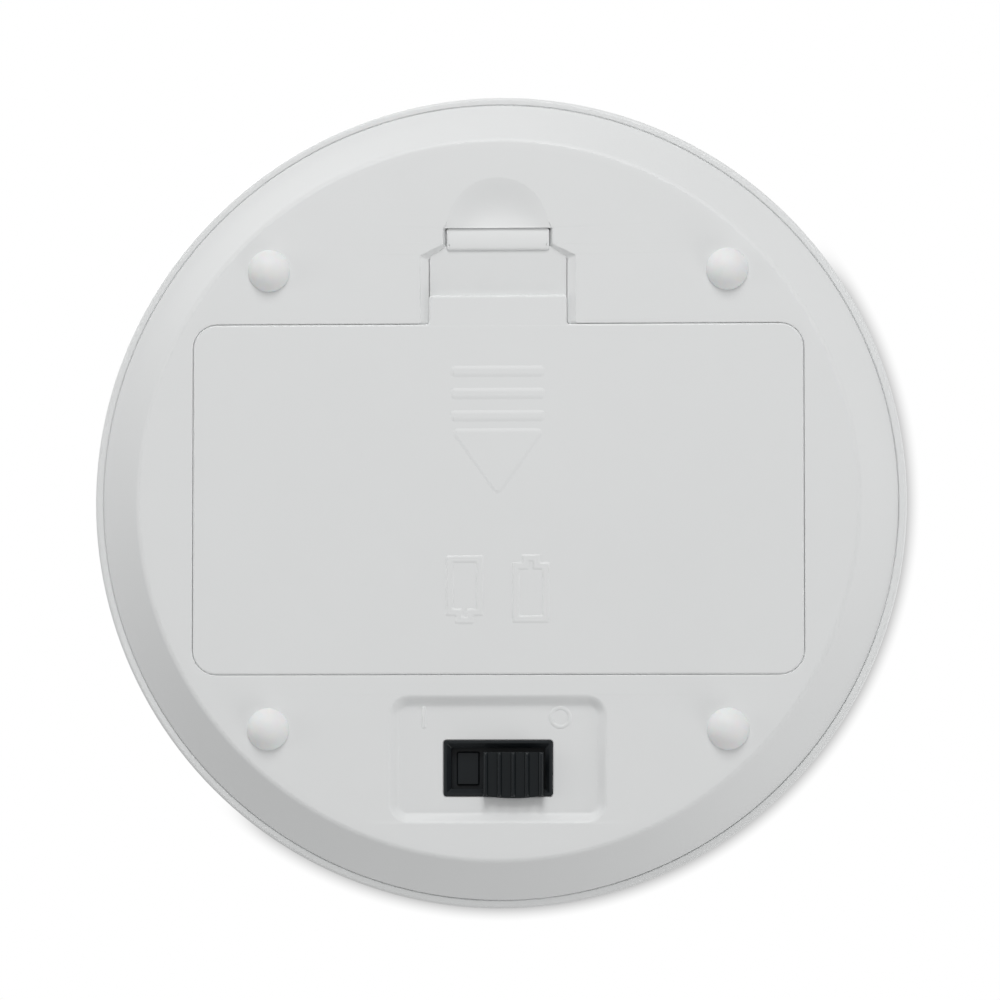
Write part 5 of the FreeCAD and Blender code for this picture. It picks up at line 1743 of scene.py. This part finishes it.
@dataclass(frozen=True)
class PaintedRimShadow:
    """A painted shadow: the tight soft shade beside the rim, painted into the backdrop's emission over one
    side of it, not cast by a lamp.
    """

    centre: Point = (-0.18, -0.2)
    radius: float = 40.85
    width: float = 1.45
    depth: float = 0.51
    middle: float = 47.0
    half: float = 82.0
    fade: float = 5.0

    def write(self, tree: Tree) -> bpy.types.NodeSocket:
        """Adds the nodes and returns the brightness that the painted shadow leaves, from 0 to 1."""

        def math_node(operation: str, *values: object) -> bpy.types.NodeSocket:
            """One Math node and its result."""
            return tree.add("ShaderNodeMath", dict(enumerate(values)), operation=operation).outputs[0]

        axes = tree.add("ShaderNodeSeparateXYZ", {0: tree.add("ShaderNodeTexCoord").outputs["Object"]})
        x = math_node("SUBTRACT", axes.outputs["X"], self.centre[0] * MM)
        y = math_node("SUBTRACT", axes.outputs["Y"], self.centre[1] * MM)
        reach = math_node(
            "SQRT", math_node("ADD", math_node("MULTIPLY", x, x), math_node("MULTIPLY", y, y)),
        )
        step = tree.add(
            "ShaderNodeMapRange",
            {"Value": reach, 1: self.radius * MM, 2: (self.radius + self.width) * MM, 3: 1.0, 4: 0.0},
        )
        fall = math_node("POWER", step.outputs[0], 1.5)
        turn = math_node("ARCTAN2", y, x)
        away = math_node("ABSOLUTE", math_node("SUBTRACT", turn, math.radians(self.middle)))
        share = math_node("DIVIDE", away, math.radians(self.half))
        bowl = math_node("SUBTRACT", 1.0, math_node("MULTIPLY", 0.3, math_node("MULTIPLY", share, share)))
        edge = tree.add(
            "ShaderNodeMapRange",
            {"Value": away, 1: math.radians(self.half - self.fade), 2: math.radians(self.half + self.fade),
             3: self.depth, 4: 0.0},
            interpolation_type="SMOOTHSTEP",
        )
        # Painted shadow: darkest at the rim, fading outwards and towards the ends of its side.
        dark = math_node("MULTIPLY", fall, math_node("MULTIPLY", bowl, edge.outputs[0]))
        return math_node("SUBTRACT", 1.0, dark)


@dataclass
class Studio:
    """Floor, backdrop, lights and the camera that looks at the underside."""

    reach: float = 0.62
    lean: tuple[float, float] = (3.0, 3.4)
    aim: Point = (0.0, -0.15)
    rim: float = 6.0
    span: float = 100.0
    sensor: float = 36.0
    ambient: float = 0.442
    lamps: tuple[Lamp, ...] = (
        Lamp("under_key", (0.0, -0.446, -0.401), 0.3, 1.814),
        Lamp("under_right", (0.410, 0.410, -0.155), 0.3, 0.771),
        Lamp("under_left", (-0.580, 0.0, -0.155), 0.3, 0.381),
        Lamp("over_key", (-0.45, -0.55, 0.75), 0.5, 7.0),
        Lamp("over_fill", (0.7, 0.1, 0.5), 0.6, 2.5),
    )

    def sheet(self, name: str, level: float, size: float, from_above: bool) -> tuple[Tree, bpy.types.Node]:
        """A flat stage sheet that only the camera sees, from one side.

        Args:
            name: its name.
            level: its height in millimetres.
            size: its half width in metres.
            from_above: which side is seen.

        Returns:
            The tree and shader of its material.
        """
        work = bmesh.new()
        corners = [(-size, -size), (size, -size), (size, size), (-size, size)]
        if not from_above:
            corners.reverse()
        work.faces.new([work.verts.new((x, y, level * MM)) for x, y in corners])
        mesh = bpy.data.meshes.new(name)
        work.to_mesh(mesh)
        work.free()
        item = bpy.data.objects.new(name, mesh)
        bpy.context.scene.collection.objects.link(item)
        material = bpy.data.materials.new(name)
        material.use_nodes = True
        tree = Tree(material.node_tree)
        matt = tree.add("ShaderNodeBsdfPrincipled", {"Roughness": 0.9})
        matt.inputs["Specular IOR Level"].default_value = 0.0
        clear = tree.add("ShaderNodeBsdfTransparent")
        back = tree.add("ShaderNodeNewGeometry").outputs["Backfacing"]
        either = tree.add("ShaderNodeMixShader", {0: back, 1: matt.outputs[0], 2: clear.outputs[0]})
        tree.add("ShaderNodeOutputMaterial", {0: either.outputs[0]})
        mesh.materials.append(material)
        item.visible_diffuse = item.visible_glossy = item.visible_transmission = item.visible_shadow = False
        return tree, matt

    def sheets(self) -> None:
        """The floor, seen from above, and the white backdrop, seen from below, with a painted shadow beside
        the rim in its emission.
        """
        tree, matt = self.sheet("floor", 0.0, 2.0, True)
        matt.inputs["Base Color"].default_value = (0.82, 0.82, 0.82, 1)
        tree, matt = self.sheet("backdrop", self.rim + 2.1, 2.0, False)
        matt.inputs["Base Color"].default_value = (0, 0, 0, 1)
        # The backdrop's emission is white except for a painted shadow beside the rim.
        tree.tree.links.new(PaintedRimShadow().write(tree), matt.inputs["Emission Color"])
        matt.inputs["Emission Strength"].default_value = 1.0

    def light(self, lamp: Lamp) -> None:
        """Hangs a lamp and aims it at the object."""
        data = bpy.data.lights.new(lamp.name, "AREA")
        data.size = lamp.size
        data.energy = lamp.watts
        item = bpy.data.objects.new(lamp.name, data)
        bpy.context.scene.collection.objects.link(item)
        item.location = lamp.place
        item.rotation_euler = (-Vector(lamp.place)).to_track_quat("-Z", "Y").to_euler()
        item.visible_camera = False

    def camera(self) -> None:
        """A long lens below the object, with the display edge up in the picture."""
        data = bpy.data.cameras.new("camera")
        data.sensor_width = self.sensor
        data.lens = self.sensor * self.reach / (self.span * MM)
        item = bpy.data.objects.new("camera", data)
        bpy.context.scene.collection.objects.link(item)
        target = Vector((*self.aim, self.rim)) * MM
        away = Vector((math.tan(math.radians(self.lean[0])), math.tan(math.radians(self.lean[1])), -1))
        item.location = target + away * self.reach
        back = away.normalized()
        right = Vector((0.0, -1.0, 0.0)).cross(back).normalized()
        item.rotation_euler = Matrix((right, back.cross(right), back)).transposed().to_euler()
        bpy.context.scene.camera = item

    def build(self) -> None:
        """Sets the stage, the light and the camera."""
        self.sheets()
        world = bpy.data.worlds.new("studio")
        world.use_nodes = True
        tree = Tree(world.node_tree)
        sky = tree.add("ShaderNodeBackground", {"Color": (1, 1, 1, 1), "Strength": self.ambient})
        tree.add("ShaderNodeOutputWorld", {0: sky.outputs[0]})
        bpy.context.scene.world = world
        bpy.context.scene.view_settings.view_transform = "Standard"
        for lamp in self.lamps:
            self.light(lamp)
        self.camera()


def main() -> None:
    """Builds every sub-assembly in order, then the stage."""
    logging.basicConfig(level=logging.INFO, format="%(message)s")
    latching = Latching()
    BottomShell(latching).build()
    BatteryCover(latching).build()
    CoverLatch(latching).build()
    Feet().build()
    UpperHousing().build()
    Platform().build()
    Display().build()
    SlideSwitch().build()
    Cells().build()
    Works().build()
    Studio().build()


if __name__ == "__main__":
    main()
